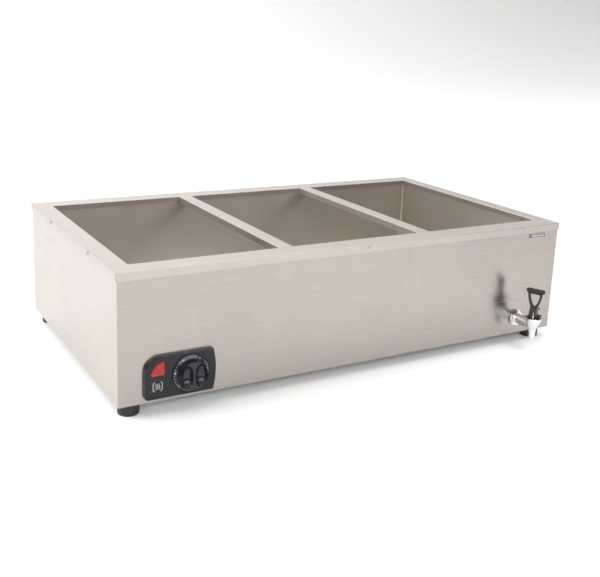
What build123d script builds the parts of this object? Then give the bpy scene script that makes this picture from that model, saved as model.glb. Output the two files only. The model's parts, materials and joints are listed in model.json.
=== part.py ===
from build123d import *
import os
from math import cos, radians, sin

# Three-bay countertop wet steam table (bain-marie) with a drain tap.
# Millimetres. +X is to the right, +Y to the back and +Z up. The origin is on the
# floor, at the middle of the plan box of the whole object, tap and cable gland included.

os.makedirs("parts", exist_ok=True)

# ---------------------------------------------------------------- driving dimensions
LENGTH = 1062.0  # top frame, left to right
DEPTH = 602.0  # top frame, front to back
CASING_H = 254.0  # bottom edge of the panels to the rim
FOOT_H = 26.0
SIDE_RAIL = 37.0
FRONT_RAIL = 45.0
DIVIDER_W = 32.0
BAYS = 3

TOP_T = 1.2  # sheet of the top frame, tank and dividers
PANEL_T = 1.0  # sheet of the panels
BASE_T = 1.2
SKIRT_H = 16.5
LIP_H = 12.0
DIVIDER_H = 14.0
BEND_R = 1.5  # outer radius of a sheet-metal bend

TANK_DEPTH = 180.0
TANK_GAP = 3.0  # from the opening's edge out to the tank wall
TANK_CORNER_R = 4.0  # upright corners, inside
TANK_FLOOR_R = 3.9  # floor edges, inside
TANK_FLANGE_W = 18.0

RETURN_W = 13.0  # vertical returns of the front and back panels
FLANGE_W = 15.0  # bottom flanges of the panels

FOOT_R = 21.0
FOOT_INSET = 31.0

TAP_X = 421.0
TAP_OUT = 56.5  # tap axis in front of the front panel
SHANK_Z = 64.0
LEVER_TURN = -63.3  # direction of the lever's grip bar in plan, degrees from +X
GRIP_L = 43.0
GRIP_R = 5.25

GLAND_X = -430.0
GLAND_Z = 71.0
GLAND_OUT = 24.0  # cable gland behind the back panel

# ---------------------------------------------------------------- derived positions
RIM_Z = FOOT_H + CASING_H
TOP_UNDER_Z = RIM_Z - TOP_T
OPEN_X = LENGTH - 2 * SIDE_RAIL
OPEN_Y = DEPTH - 2 * FRONT_RAIL
BAY_W = (OPEN_X - (BAYS - 1) * DIVIDER_W) / BAYS
BAY_PITCH = BAY_W + DIVIDER_W
DIVIDER_XS = (-BAY_PITCH / 2, BAY_PITCH / 2)
BAY_XS = (-BAY_PITCH, 0.0, BAY_PITCH)

GRIP_REACH = (GRIP_L / 2 - GRIP_R) * abs(sin(radians(LEVER_TURN))) + GRIP_R
FRONT_REACH = DEPTH / 2 - TOP_T + TAP_OUT + GRIP_REACH
BACK_REACH = DEPTH / 2 - TOP_T + GLAND_OUT
MID_Y = (FRONT_REACH - BACK_REACH) / 2  # middle of the casing

SKIRT_FRONT_Y = MID_Y - DEPTH / 2
SKIRT_BACK_Y = MID_Y + DEPTH / 2
PANEL_FRONT_Y = SKIRT_FRONT_Y + TOP_T
PANEL_BACK_Y = SKIRT_BACK_Y - TOP_T
PANEL_SIDE_X = LENGTH / 2 - TOP_T
PANEL_IN_X = PANEL_SIDE_X - PANEL_T
PANEL_IN_FRONT_Y = PANEL_FRONT_Y + PANEL_T
PANEL_IN_BACK_Y = PANEL_BACK_Y - PANEL_T
BASE_TOP_Z = FOOT_H + PANEL_T + BASE_T

TANK_X = OPEN_X + 2 * TANK_GAP
TANK_Y = OPEN_Y + 2 * TANK_GAP
TANK_FLOOR_Z = RIM_Z - TANK_DEPTH
TANK_UNDER_Z = TANK_FLOOR_Z - TOP_T

# Screws and their holes
SCREW_SHANK_R = 1.95
SCREW_HOLE_R = 2.1
SCREW_HEAD_R = 3.9
SCREW_HEAD_H = 2.2
SCREW_L = 10.0
SKIRT_SCREW_Z = RIM_Z - 7.0
SKIRT_SCREW_XS = (-417.0, 0.0, 417.0)
SIDE_SCREW_DY = (-133.0, 133.0)
BASE_SCREW_XS = (-400.0, 0.0, 400.0)
BASE_SCREW_DY = (-120.0, 120.0)
BASE_SCREW_INSET = 8.0

NUT_ROUND = 0.56  # corner radius of a nut over its width across flats

# Planes of the four faces: sketch x runs to the viewer's right and sketch y is height
FRONT = Plane(origin=(0, PANEL_FRONT_Y, 0), x_dir=(1, 0, 0), z_dir=(0, -1, 0))
BACK = Plane(origin=(0, PANEL_BACK_Y, 0), x_dir=(-1, 0, 0), z_dir=(0, 1, 0))
LEFT = Plane(origin=(-PANEL_SIDE_X, MID_Y, 0), x_dir=(0, -1, 0), z_dir=(-1, 0, 0))
RIGHT = Plane(origin=(PANEL_SIDE_X, MID_Y, 0), x_dir=(0, 1, 0), z_dir=(1, 0, 0))
MID = Plane(origin=(0, MID_Y, 0))


def save(piece, label):
    """Label a finished piece and write it as one STEP file."""
    piece.part.label = label
    export_step(piece.part, f"parts/{label}.step")


def facing(origin, z_dir):
    """A plane at a point, with its normal along z_dir."""
    return Plane(origin=origin, z_dir=z_dir)


def pan_screw(head_r, head_h, shank_r, shank_l):
    """A dome-headed screw: the head stands up from z = 0 and the shank hangs down."""
    with BuildPart() as screw:
        with BuildSketch(Plane.XY):
            Circle(head_r)
        extrude(amount=head_h)
        fillet(screw.faces().sort_by(Axis.Z)[-1].edges(), head_h * 0.8)
        with BuildSketch(Plane.XY.offset(head_h)):
            Rectangle(head_r, head_r / 5)
            Rectangle(head_r / 5, head_r)
        extrude(amount=-head_h / 2, mode=Mode.SUBTRACT)
        with BuildSketch(Plane.XY):
            Circle(shank_r)
        extrude(amount=-shank_l)
    return screw.part


def hex_nut(across_flats, thickness, hole_r):
    """A hexagon nut with rounded corners that stands on z = 0."""
    with BuildPart() as nut:
        with BuildSketch(Plane.XY):
            RegularPolygon(radius=across_flats / 2, side_count=6, major_radius=False)
        extrude(amount=thickness)
        with BuildSketch(Plane.XY):
            Circle(across_flats * NUT_ROUND)
        extrude(amount=thickness, mode=Mode.INTERSECT)
        with BuildSketch(Plane.XY):
            Circle(hole_r)
        extrude(amount=thickness, mode=Mode.SUBTRACT)
    return nut.part


def lead(points, bend_r, wire_r):
    """A round wire or tube of straight runs joined by tangent arcs."""
    with BuildPart() as wire:
        with BuildLine() as route:
            FilletPolyline(*points, radius=bend_r)
        with BuildSketch(Plane(origin=route.line @ 0, z_dir=route.line % 0)):
            Circle(wire_r)
        sweep(path=route.line)
    return wire.part


def group(parts, planes):
    """One node made of the same part at several planes."""
    with BuildPart() as node:
        with Locations(*planes):
            add(parts)
    return node


# ---------------------------------------------------------------- top frame
SLIT_W = 2.0  # open fold at each corner of the skirt
SLIT_TOP = 3.0
with BuildPart() as top_frame:
    with BuildSketch(MID.offset(RIM_Z)):
        Rectangle(LENGTH, DEPTH)
        Rectangle(OPEN_X, OPEN_Y, mode=Mode.SUBTRACT)
    extrude(amount=-TOP_T)
    with BuildSketch(MID.offset(RIM_Z)):
        Rectangle(LENGTH, DEPTH)
        Rectangle(LENGTH - 2 * TOP_T, DEPTH - 2 * TOP_T, mode=Mode.SUBTRACT)
    extrude(amount=-SKIRT_H)
    with BuildSketch(MID.offset(RIM_Z)):
        Rectangle(OPEN_X + 2 * TOP_T, OPEN_Y + 2 * TOP_T)
        Rectangle(OPEN_X, OPEN_Y, mode=Mode.SUBTRACT)
    extrude(amount=-LIP_H)
    fillet(top_frame.faces().sort_by(Axis.Z)[-1].edges(), BEND_R)
    with BuildSketch(MID.offset(RIM_Z - SKIRT_H)):
        with GridLocations(LENGTH - TOP_T, DEPTH - 2 * TOP_T - SLIT_W, 2, 2):
            Rectangle(TOP_T * 2, SLIT_W)
    extrude(amount=SKIRT_H - SLIT_TOP, mode=Mode.SUBTRACT)
    for face in (FRONT, BACK):
        with BuildSketch(face):
            with Locations(*[(x, SKIRT_SCREW_Z) for x in SKIRT_SCREW_XS]):
                Circle(SCREW_HOLE_R)
        extrude(amount=TOP_T, mode=Mode.SUBTRACT)
    for face in (LEFT, RIGHT):
        with BuildSketch(face):
            with Locations(*[(dy, SKIRT_SCREW_Z) for dy in SIDE_SCREW_DY]):
                Circle(SCREW_HOLE_R)
        extrude(amount=TOP_T, mode=Mode.SUBTRACT)
save(top_frame, "top_frame")

# ---------------------------------------------------------------- divider bars
DIVIDER_GAP = 0.5  # from each end of a bar to the lip
DIVIDER_L = OPEN_Y - 2 * DIVIDER_GAP
DIVIDER_START = Plane(
    origin=(0, MID_Y + DIVIDER_L / 2, RIM_Z), x_dir=(1, 0, 0), z_dir=(0, -1, 0)
)
for side, divider_x in zip(("left", "right"), DIVIDER_XS):
    with BuildPart() as divider:
        with BuildSketch(DIVIDER_START):
            with Locations((divider_x, -DIVIDER_H / 2)):
                Rectangle(DIVIDER_W, DIVIDER_H)
            with Locations((divider_x, -TOP_T - DIVIDER_H / 2)):
                Rectangle(DIVIDER_W - 2 * TOP_T, DIVIDER_H, mode=Mode.SUBTRACT)
        extrude(amount=DIVIDER_L)
        fillet(divider.faces().sort_by(Axis.Z)[-1].edges().filter_by(Axis.Y), BEND_R)
    save(divider, f"divider_{side}")

SEAT_W = 22.0
SEAT_L = 14.0
SEAT_T = 1.5
SEAT_Z = TOP_UNDER_Z - 0.2
with BuildPart() as divider_seats:
    for way in (-1, 1):
        lip_y = MID_Y + way * OPEN_Y / 2
        with BuildSketch(Plane.XY.offset(SEAT_Z)):
            with Locations(*[(x, lip_y - way * SEAT_L / 2) for x in DIVIDER_XS]):
                Rectangle(SEAT_W, SEAT_L)
        extrude(amount=-SEAT_T)
        with BuildSketch(Plane.XY.offset(SEAT_Z)):
            with Locations(*[(x, lip_y - way * SEAT_T / 2) for x in DIVIDER_XS]):
                Rectangle(SEAT_W, SEAT_T)
        extrude(amount=RIM_Z - LIP_H - SEAT_Z)
save(divider_seats, "divider_seats")

# ---------------------------------------------------------------- well tank
DRAIN_X = TAP_X
DRAIN_Y = MID_Y - TANK_Y / 2 + 21.0
DRAIN_HOLE_R = 10.8
with BuildPart() as well_hollow:
    with BuildSketch(MID.offset(TANK_FLOOR_Z)):
        RectangleRounded(TANK_X, TANK_Y, TANK_CORNER_R)
    extrude(amount=TANK_DEPTH)
    fillet(well_hollow.faces().sort_by(Axis.Z)[0].edges(), TANK_FLOOR_R)
with BuildPart() as tank:
    with BuildSketch(MID.offset(TANK_UNDER_Z)):
        RectangleRounded(TANK_X + 2 * TOP_T, TANK_Y + 2 * TOP_T, TANK_CORNER_R + TOP_T)
    extrude(amount=TOP_UNDER_Z - TANK_UNDER_Z)
    fillet(tank.faces().sort_by(Axis.Z)[0].edges(), TANK_FLOOR_R + TOP_T)
    add(well_hollow.part, mode=Mode.SUBTRACT)
    with BuildSketch(MID.offset(TOP_UNDER_Z)):
        Rectangle(TANK_X + 2 * TANK_FLANGE_W, TANK_Y + 2 * TANK_FLANGE_W)
        RectangleRounded(TANK_X, TANK_Y, TANK_CORNER_R, mode=Mode.SUBTRACT)
    extrude(amount=-TOP_T)
    with BuildSketch(Plane.XY.offset(TANK_FLOOR_Z)):
        with Locations((DRAIN_X, DRAIN_Y)):
            Circle(DRAIN_HOLE_R)
    extrude(amount=-TOP_T, mode=Mode.SUBTRACT)
save(tank, "tank")

# ---------------------------------------------------------------- casing panels
KNOB_X = -392.7
KNOB_Z = FOOT_H + 48.0
THERMO_SCREW_DX = 14.0
THERMO_SCREW_HOLE_R = 2.1
SPINDLE_HOLE_R = 6.0
LENS_X = -445.0  # right-angled corner of the pilot lens
LENS_Z = FOOT_H + 54.0
LENS_R = 26.0
LAMP_DX = -9.5  # lamp centre from the lens corner
LAMP_DZ = 9.5
LAMP_HOLE_R = 7.6
PLATE_STUD_AT = ((-471.0, FOOT_H + 14.0), (-352.0, FOOT_H + 80.0))
PLATE_STUD_HOLE_R = 2.3
TAP_HOLE_R = 10.8
PANEL_Z0 = FOOT_H
PANEL_H = TOP_UNDER_Z - FOOT_H
CORNER_SEAM = 1.0  # a side panel's edge behind the outer face of the front or back panel


def c_panel(y_in, way):
    """Front or back panel: a face, two upright returns and a bottom flange."""
    half = PANEL_IN_X
    face_mid = y_in - way * PANEL_T / 2
    with BuildPart() as panel:
        with BuildSketch(Plane.XY.offset(PANEL_Z0)):
            with Locations((0, face_mid)):
                Rectangle(2 * half, PANEL_T)
            with Locations(*[(s * (half - PANEL_T / 2), y_in + way * RETURN_W / 2) for s in (-1, 1)]):
                Rectangle(PANEL_T, RETURN_W)
        extrude(amount=PANEL_H)
        outer = panel.edges().filter_by(Axis.Z).group_by(Axis.Y)[0 if way > 0 else -1]
        fillet(outer, BEND_R)
        with BuildSketch(Plane.XY.offset(PANEL_Z0)):
            with Locations((0, y_in + way * (FLANGE_W - PANEL_T) / 2)):
                Rectangle(2 * (half - PANEL_T), FLANGE_W - PANEL_T)
        extrude(amount=PANEL_T)
        with BuildSketch(Plane.XY.offset(PANEL_Z0)):
            with Locations(*[(x, y_in + way * BASE_SCREW_INSET) for x in BASE_SCREW_XS]):
                Circle(SCREW_HOLE_R)
        extrude(amount=PANEL_T, mode=Mode.SUBTRACT)
    return panel.part


def side_panel(face, way):
    """Left or right panel: a face that covers the returns, with a bottom flange."""
    x_in = way * PANEL_IN_X
    depth = DEPTH - 2 * TOP_T - 2 * CORNER_SEAM
    flange_mid = x_in - way * (FLANGE_W - PANEL_T) / 2
    with BuildPart() as panel:
        with BuildSketch(MID.offset(PANEL_Z0)):
            with Locations((x_in + way * PANEL_T / 2, 0)):
                Rectangle(PANEL_T, depth)
        extrude(amount=PANEL_H)
        with BuildSketch(MID.offset(PANEL_Z0)):
            with Locations((flange_mid, 0)):
                Rectangle(FLANGE_W - PANEL_T, depth - 2 * (FLANGE_W + PANEL_T))
        extrude(amount=PANEL_T)
        with BuildSketch(MID.offset(PANEL_Z0)):
            with Locations(*[(x_in - way * BASE_SCREW_INSET, dy) for dy in BASE_SCREW_DY]):
                Circle(SCREW_HOLE_R)
        extrude(amount=PANEL_T, mode=Mode.SUBTRACT)
        with BuildSketch(face):
            with Locations(*[(dy, SKIRT_SCREW_Z) for dy in SIDE_SCREW_DY]):
                Circle(SCREW_HOLE_R)
        extrude(amount=-PANEL_T, mode=Mode.SUBTRACT)
    return panel.part


front_blank = c_panel(PANEL_IN_FRONT_Y, 1)
with BuildPart() as front_panel:
    add(front_blank)
    with BuildSketch(FRONT):
        with Locations(*[(x, SKIRT_SCREW_Z) for x in SKIRT_SCREW_XS]):
            Circle(SCREW_HOLE_R)
        with Locations((KNOB_X, KNOB_Z)):
            Circle(SPINDLE_HOLE_R)
        with Locations(*[(KNOB_X + s * THERMO_SCREW_DX, KNOB_Z) for s in (-1, 1)]):
            Circle(THERMO_SCREW_HOLE_R)
        with Locations((LENS_X + LAMP_DX, LENS_Z + LAMP_DZ)):
            Circle(LAMP_HOLE_R)
        with Locations(*PLATE_STUD_AT):
            Circle(PLATE_STUD_HOLE_R)
        with Locations((TAP_X, SHANK_Z)):
            Circle(TAP_HOLE_R)
    extrude(amount=-PANEL_T, mode=Mode.SUBTRACT)
save(front_panel, "front_panel")

GLAND_THREAD_R = 10.0
GLAND_HOLE_R = 10.2
back_blank = c_panel(PANEL_IN_BACK_Y, -1)
with BuildPart() as back_panel:
    add(back_blank)
    with BuildSketch(BACK):
        with Locations(*[(x, SKIRT_SCREW_Z) for x in SKIRT_SCREW_XS]):
            Circle(SCREW_HOLE_R)
        with Locations((-GLAND_X, GLAND_Z)):
            Circle(GLAND_HOLE_R)
    extrude(amount=-PANEL_T, mode=Mode.SUBTRACT)
save(back_panel, "back_panel")

with BuildPart() as left_panel:
    add(side_panel(LEFT, -1))
save(left_panel, "left_panel")

with BuildPart() as right_panel:
    add(side_panel(RIGHT, 1))
save(right_panel, "right_panel")

# ---------------------------------------------------------------- base plate
BASE_EDGE_GAP = 1.3
BASE_X = 2 * (PANEL_IN_X - BASE_EDGE_GAP)
BASE_Y = DEPTH - 2 * (TOP_T + PANEL_T + BASE_EDGE_GAP)
VENT_L = 70.0
VENT_W = 6.0
VENT_PITCH = 14.0
FOOT_X = LENGTH / 2 - FOOT_INSET
FOOT_DY = DEPTH / 2 - FOOT_INSET
FOOT_BOLT_HOLE_R = 3.3
EARTH_X = -505.0
EARTH_Y = MID_Y + 150.0
EARTH_R = 3.0
BASE_Z = FOOT_H + PANEL_T
with BuildPart() as base_plate:
    with BuildSketch(MID.offset(BASE_Z)):
        Rectangle(BASE_X, BASE_Y)
        for bay_x in BAY_XS:
            with Locations((bay_x, 0)):
                with GridLocations(VENT_L * 1.4, VENT_PITCH, 2, 7):
                    SlotOverall(VENT_L, VENT_W, mode=Mode.SUBTRACT)
        with GridLocations(2 * FOOT_X, 2 * FOOT_DY, 2, 2):
            Circle(FOOT_BOLT_HOLE_R, mode=Mode.SUBTRACT)
        for way in (-1, 1):
            screw_y = way * (DEPTH / 2 - TOP_T - PANEL_T - BASE_SCREW_INSET)
            with Locations(*[(x, screw_y) for x in BASE_SCREW_XS]):
                Circle(SCREW_HOLE_R, mode=Mode.SUBTRACT)
            with Locations(*[(way * (PANEL_IN_X - BASE_SCREW_INSET), dy) for dy in BASE_SCREW_DY]):
                Circle(SCREW_HOLE_R, mode=Mode.SUBTRACT)
    extrude(amount=BASE_T)
save(base_plate, "base_plate")

# ---------------------------------------------------------------- feet
FOOT_BORE_R = 3.4
FOOT_RECESS_R = 8.0
FOOT_RECESS_H = 14.0
FOOT_HEAD_R = 6.0
FOOT_HEAD_H = 4.0
FOOT_SCREW_R = 3.0
FOOT_NUT_AF = 10.0
FOOT_NUT_T = 5.0
FOOT_NAMES = {"front_left": (-1, -1), "front_right": (1, -1), "back_left": (-1, 1), "back_right": (1, 1)}
for name, (way_x, way_y) in FOOT_NAMES.items():
    with BuildPart() as foot:
        with BuildSketch(Plane.XY):
            with Locations((way_x * FOOT_X, MID_Y + way_y * FOOT_DY)):
                Circle(FOOT_R - 1.0)
        extrude(amount=FOOT_H, taper=-2.0)
        fillet(foot.faces().sort_by(Axis.Z)[0].edges(), 2.0)
        with BuildSketch(Plane.XY):
            with Locations((way_x * FOOT_X, MID_Y + way_y * FOOT_DY)):
                Circle(FOOT_RECESS_R)
        extrude(amount=FOOT_RECESS_H, mode=Mode.SUBTRACT)
        with BuildSketch(Plane.XY):
            with Locations((way_x * FOOT_X, MID_Y + way_y * FOOT_DY)):
                Circle(FOOT_BORE_R)
        extrude(amount=FOOT_H, mode=Mode.SUBTRACT)
    save(foot, f"foot_{name}")

FOOT_SPOTS = [(way_x * FOOT_X, MID_Y + way_y * FOOT_DY) for way_x, way_y in FOOT_NAMES.values()]
FOOT_SCREW_L = BASE_TOP_Z + FOOT_NUT_T + 2.0 - FOOT_RECESS_H
foot_screw = pan_screw(FOOT_HEAD_R, FOOT_HEAD_H, FOOT_SCREW_R, FOOT_SCREW_L)
foot_screws = group(foot_screw, [facing((x, y, FOOT_RECESS_H), (0, 0, -1)) for x, y in FOOT_SPOTS])
save(foot_screws, "foot_screws")
foot_nuts = group(
    hex_nut(FOOT_NUT_AF, FOOT_NUT_T, FOOT_SCREW_R + 0.05),
    [facing((x, y, BASE_TOP_Z), (0, 0, 1)) for x, y in FOOT_SPOTS],
)
save(foot_nuts, "foot_nuts")

# ---------------------------------------------------------------- casing screws
casing_screw = pan_screw(SCREW_HEAD_R, SCREW_HEAD_H, SCREW_SHANK_R, SCREW_L)
skirt_planes = [facing((x, SKIRT_FRONT_Y, SKIRT_SCREW_Z), (0, -1, 0)) for x in SKIRT_SCREW_XS]
skirt_planes += [facing((x, SKIRT_BACK_Y, SKIRT_SCREW_Z), (0, 1, 0)) for x in SKIRT_SCREW_XS]
for way in (-1, 1):
    side_x = way * LENGTH / 2
    skirt_planes += [facing((side_x, MID_Y + dy, SKIRT_SCREW_Z), (way, 0, 0)) for dy in SIDE_SCREW_DY]
skirt_screws = group(casing_screw, skirt_planes)
save(skirt_screws, "skirt_screws")

base_planes = []
for way in (-1, 1):
    edge_y = MID_Y + way * (DEPTH / 2 - TOP_T - PANEL_T - BASE_SCREW_INSET)
    base_planes += [facing((x, edge_y, FOOT_H), (0, 0, -1)) for x in BASE_SCREW_XS]
    edge_x = way * (PANEL_IN_X - BASE_SCREW_INSET)
    base_planes += [facing((edge_x, MID_Y + dy, FOOT_H), (0, 0, -1)) for dy in BASE_SCREW_DY]
base_screws = group(casing_screw, base_planes)
save(base_screws, "base_screws")

# ---------------------------------------------------------------- heat shield
SHIELD_T = 0.8
SHIELD_X = 970.0
SHIELD_FRONT = -207.0  # from the middle of the casing
SHIELD_BACK = 240.0
SHIELD_FLOOR_Z = 72.0
SHIELD_LIP = 10.0
SHIELD_TOP_Z = TANK_UNDER_Z
SHIELD_Y = SHIELD_BACK - SHIELD_FRONT
SHIELD_MID = MID_Y + (SHIELD_BACK + SHIELD_FRONT) / 2
ELEMENT_R = 4.0
ELEMENT_HOLE_R = 4.4
ELEMENT_Z = TANK_UNDER_Z - ELEMENT_R - 0.2
LEG_PITCH = 60.0
LEG_DXS = (-1.5 * LEG_PITCH, -0.5 * LEG_PITCH, 0.5 * LEG_PITCH, 1.5 * LEG_PITCH)
TERMINAL_DXS = (LEG_DXS[0], LEG_DXS[-1])
TERMINAL_XS = [bay_x + dx for bay_x in BAY_XS for dx in TERMINAL_DXS]
CAPILLARY_R = 0.9
CAPILLARY_X = BAY_XS[0]
CAPILLARY_HOLE_Z = 82.0
CUTOUT_Y = MID_Y - 150.0
CUTOUT_BLADE_DXS = (-4.0, 4.0)
CUTOUT_LEAD_HOLE_R = 2.5
with BuildPart() as heat_shield:
    with BuildSketch(Plane.XY.offset(SHIELD_FLOOR_Z)):
        with Locations((0, SHIELD_MID)):
            Rectangle(SHIELD_X, SHIELD_Y)
    extrude(amount=SHIELD_T)
    with BuildSketch(Plane.XY.offset(SHIELD_FLOOR_Z)):
        with Locations((0, SHIELD_MID)):
            Rectangle(SHIELD_X, SHIELD_Y)
            Rectangle(SHIELD_X - 2 * SHIELD_T, SHIELD_Y - 2 * SHIELD_T, mode=Mode.SUBTRACT)
    extrude(amount=SHIELD_TOP_Z - SHIELD_FLOOR_Z)
    with BuildSketch(Plane.XY.offset(SHIELD_TOP_Z)):
        with Locations((0, SHIELD_MID)):
            Rectangle(SHIELD_X + 2 * SHIELD_LIP, SHIELD_Y + 2 * SHIELD_LIP)
            Rectangle(SHIELD_X - 2 * SHIELD_T, SHIELD_Y - 2 * SHIELD_T, mode=Mode.SUBTRACT)
    extrude(amount=-SHIELD_T)
    with BuildSketch(Plane(origin=(0, MID_Y + SHIELD_BACK, 0), x_dir=(-1, 0, 0), z_dir=(0, 1, 0))):
        with Locations(*[(-x, ELEMENT_Z) for x in TERMINAL_XS]):
            Circle(ELEMENT_HOLE_R)
    extrude(amount=-SHIELD_T, mode=Mode.SUBTRACT)
    with BuildSketch(Plane.XY.offset(SHIELD_TOP_Z)):
        with Locations(*[(x, MID_Y + SHIELD_BACK + SHIELD_LIP / 2) for x in TERMINAL_XS]):
            Rectangle(2 * ELEMENT_HOLE_R, SHIELD_LIP + 2 * SHIELD_T)
    extrude(amount=-SHIELD_T, mode=Mode.SUBTRACT)
    with BuildSketch(Plane(origin=(0, MID_Y + SHIELD_FRONT, 0), x_dir=(1, 0, 0), z_dir=(0, -1, 0))):
        with Locations((CAPILLARY_X, CAPILLARY_HOLE_Z)):
            Circle(CAPILLARY_R + 1.0)
    extrude(amount=-SHIELD_T, mode=Mode.SUBTRACT)
    with BuildSketch(Plane.XY.offset(SHIELD_FLOOR_Z)):
        with Locations(*[(dx, CUTOUT_Y) for dx in CUTOUT_BLADE_DXS]):
            Circle(CUTOUT_LEAD_HOLE_R)
    extrude(amount=SHIELD_T, mode=Mode.SUBTRACT)
save(heat_shield, "heat_shield")

# ---------------------------------------------------------------- heating elements
ELEMENT_FRONT_Y = MID_Y - 195.0
ELEMENT_TURN_Y = MID_Y + 205.0
ELEMENT_END_Y = MID_Y + 258.0
ELEMENT_BEND_R = 27.0
for side, bay_x in zip(("left", "centre", "right"), BAY_XS):
    legs = [bay_x + dx for dx in LEG_DXS]
    route = [
        (legs[0], ELEMENT_END_Y, ELEMENT_Z),
        (legs[0], ELEMENT_FRONT_Y, ELEMENT_Z),
        (legs[1], ELEMENT_FRONT_Y, ELEMENT_Z),
        (legs[1], ELEMENT_TURN_Y, ELEMENT_Z),
        (legs[2], ELEMENT_TURN_Y, ELEMENT_Z),
        (legs[2], ELEMENT_FRONT_Y, ELEMENT_Z),
        (legs[3], ELEMENT_FRONT_Y, ELEMENT_Z),
        (legs[3], ELEMENT_END_Y, ELEMENT_Z),
    ]
    with BuildPart() as heating_element:
        add(lead(route, ELEMENT_BEND_R, ELEMENT_R))
    save(heating_element, f"heating_element_{side}")

TERMINAL_BEAD_R = 5.0
TERMINAL_BEAD_L = 9.0
TERMINAL_STUD_R = 1.8
TERMINAL_STUD_L = 9.0
with BuildPart() as terminal:
    with BuildSketch(Plane.XY):
        Circle(TERMINAL_BEAD_R)
    extrude(amount=TERMINAL_BEAD_L)
    fillet(terminal.faces().sort_by(Axis.Z)[-1].edges(), 1.5)
    with BuildSketch(Plane.XY.offset(TERMINAL_BEAD_L)):
        Circle(TERMINAL_STUD_R)
    extrude(amount=TERMINAL_STUD_L)
terminal_planes = [facing((x, ELEMENT_END_Y, ELEMENT_Z), (0, 1, 0)) for x in TERMINAL_XS]
element_terminals = group(terminal.part, terminal_planes)
save(element_terminals, "element_terminals")

CLAMP_W = 14.0
CLAMP_T = 1.5
CLAMP_L = 200.0
CLAMP_Z = ELEMENT_Z - ELEMENT_R - 0.1 - CLAMP_T
CLAMP_DYS = (-110.0, 110.0)
STUD_DXS = (-LEG_PITCH, LEG_PITCH)
STUD_R = 2.5
STUD_HOLE_R = 2.7
STUD_NUT_AF = 8.0
STUD_NUT_T = 4.0
CLAMP_SPOTS = [(bay_x, MID_Y + dy) for bay_x in BAY_XS for dy in CLAMP_DYS]
STUD_SPOTS = [(x + dx, y) for x, y in CLAMP_SPOTS for dx in STUD_DXS]
with BuildPart() as element_clamps:
    with BuildSketch(Plane.XY.offset(CLAMP_Z)):
        with Locations(*CLAMP_SPOTS):
            SlotOverall(CLAMP_L, CLAMP_W)
        with Locations(*STUD_SPOTS):
            Circle(STUD_HOLE_R, mode=Mode.SUBTRACT)
    extrude(amount=CLAMP_T)
save(element_clamps, "element_clamps")
with BuildPart() as clamp_studs:
    with BuildSketch(Plane.XY.offset(TANK_UNDER_Z)):
        with Locations(*STUD_SPOTS):
            Circle(STUD_R)
    extrude(amount=-(TANK_UNDER_Z - CLAMP_Z + STUD_NUT_T + 2.0))
save(clamp_studs, "clamp_studs")
clamp_nuts = group(
    hex_nut(STUD_NUT_AF, STUD_NUT_T, STUD_R + 0.05),
    [facing((x, y, CLAMP_Z), (0, 0, -1)) for x, y in STUD_SPOTS],
)
save(clamp_nuts, "clamp_nuts")

# ---------------------------------------------------------------- thermostat
THERMO_W = 40.0
THERMO_H = 34.0
THERMO_D = 24.0
THERMO_BUSH_R = 5.0
SPINDLE_R = 3.0
SPINDLE_CLEAR = 0.05
SPINDLE_BACK = 16.0  # spindle tip behind the panel
BUSH_OUT = 4.0  # bush in front of the panel
KNOB_AXIS = (KNOB_X, KNOB_Z)
THERMO_BACK_Y = PANEL_IN_FRONT_Y + THERMO_D
BLADE_T = 0.8
BLADE_W = 6.3
BLADE_DXS = (-12.0, -4.0, 4.0, 12.0)
THERMO_BLADE_Z = KNOB_Z - 9.0
THERMO_BLADE_L = 8.0
with BuildPart() as thermostat_body:
    with BuildSketch(FRONT.offset(-PANEL_T)):
        with Locations(KNOB_AXIS):
            RectangleRounded(THERMO_W, THERMO_H, 3.0)
    extrude(amount=-THERMO_D)
    with BuildSketch(FRONT.offset(-PANEL_T)):
        with Locations(KNOB_AXIS):
            Circle(THERMO_BUSH_R)
    extrude(amount=PANEL_T + BUSH_OUT)
    with BuildSketch(FRONT.offset(BUSH_OUT)):
        with Locations(KNOB_AXIS):
            Circle(SPINDLE_R + SPINDLE_CLEAR)
    extrude(amount=-(BUSH_OUT + SPINDLE_BACK + 0.5), mode=Mode.SUBTRACT)
    with BuildSketch(FRONT.offset(-PANEL_T)):
        with Locations(*[(KNOB_X + s * THERMO_SCREW_DX, KNOB_Z) for s in (-1, 1)]):
            Circle(SCREW_HOLE_R)
    extrude(amount=-SCREW_L, mode=Mode.SUBTRACT)
    with BuildSketch(Plane(origin=(0, THERMO_BACK_Y, 0), x_dir=(-1, 0, 0), z_dir=(0, 1, 0))):
        with Locations(*[(-KNOB_X + dx, THERMO_BLADE_Z) for dx in BLADE_DXS]):
            Rectangle(BLADE_T, BLADE_W)
    extrude(amount=THERMO_BLADE_L)
save(thermostat_body, "thermostat_body")

thermo_screw = pan_screw(SCREW_HEAD_R - 0.3, 1.8, SCREW_SHANK_R, PANEL_T + 7.0)
thermostat_screws = group(
    thermo_screw,
    [facing((KNOB_X + s * THERMO_SCREW_DX, PANEL_FRONT_Y, KNOB_Z), (0, -1, 0)) for s in (-1, 1)],
)
save(thermostat_screws, "thermostat_screws")

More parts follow.
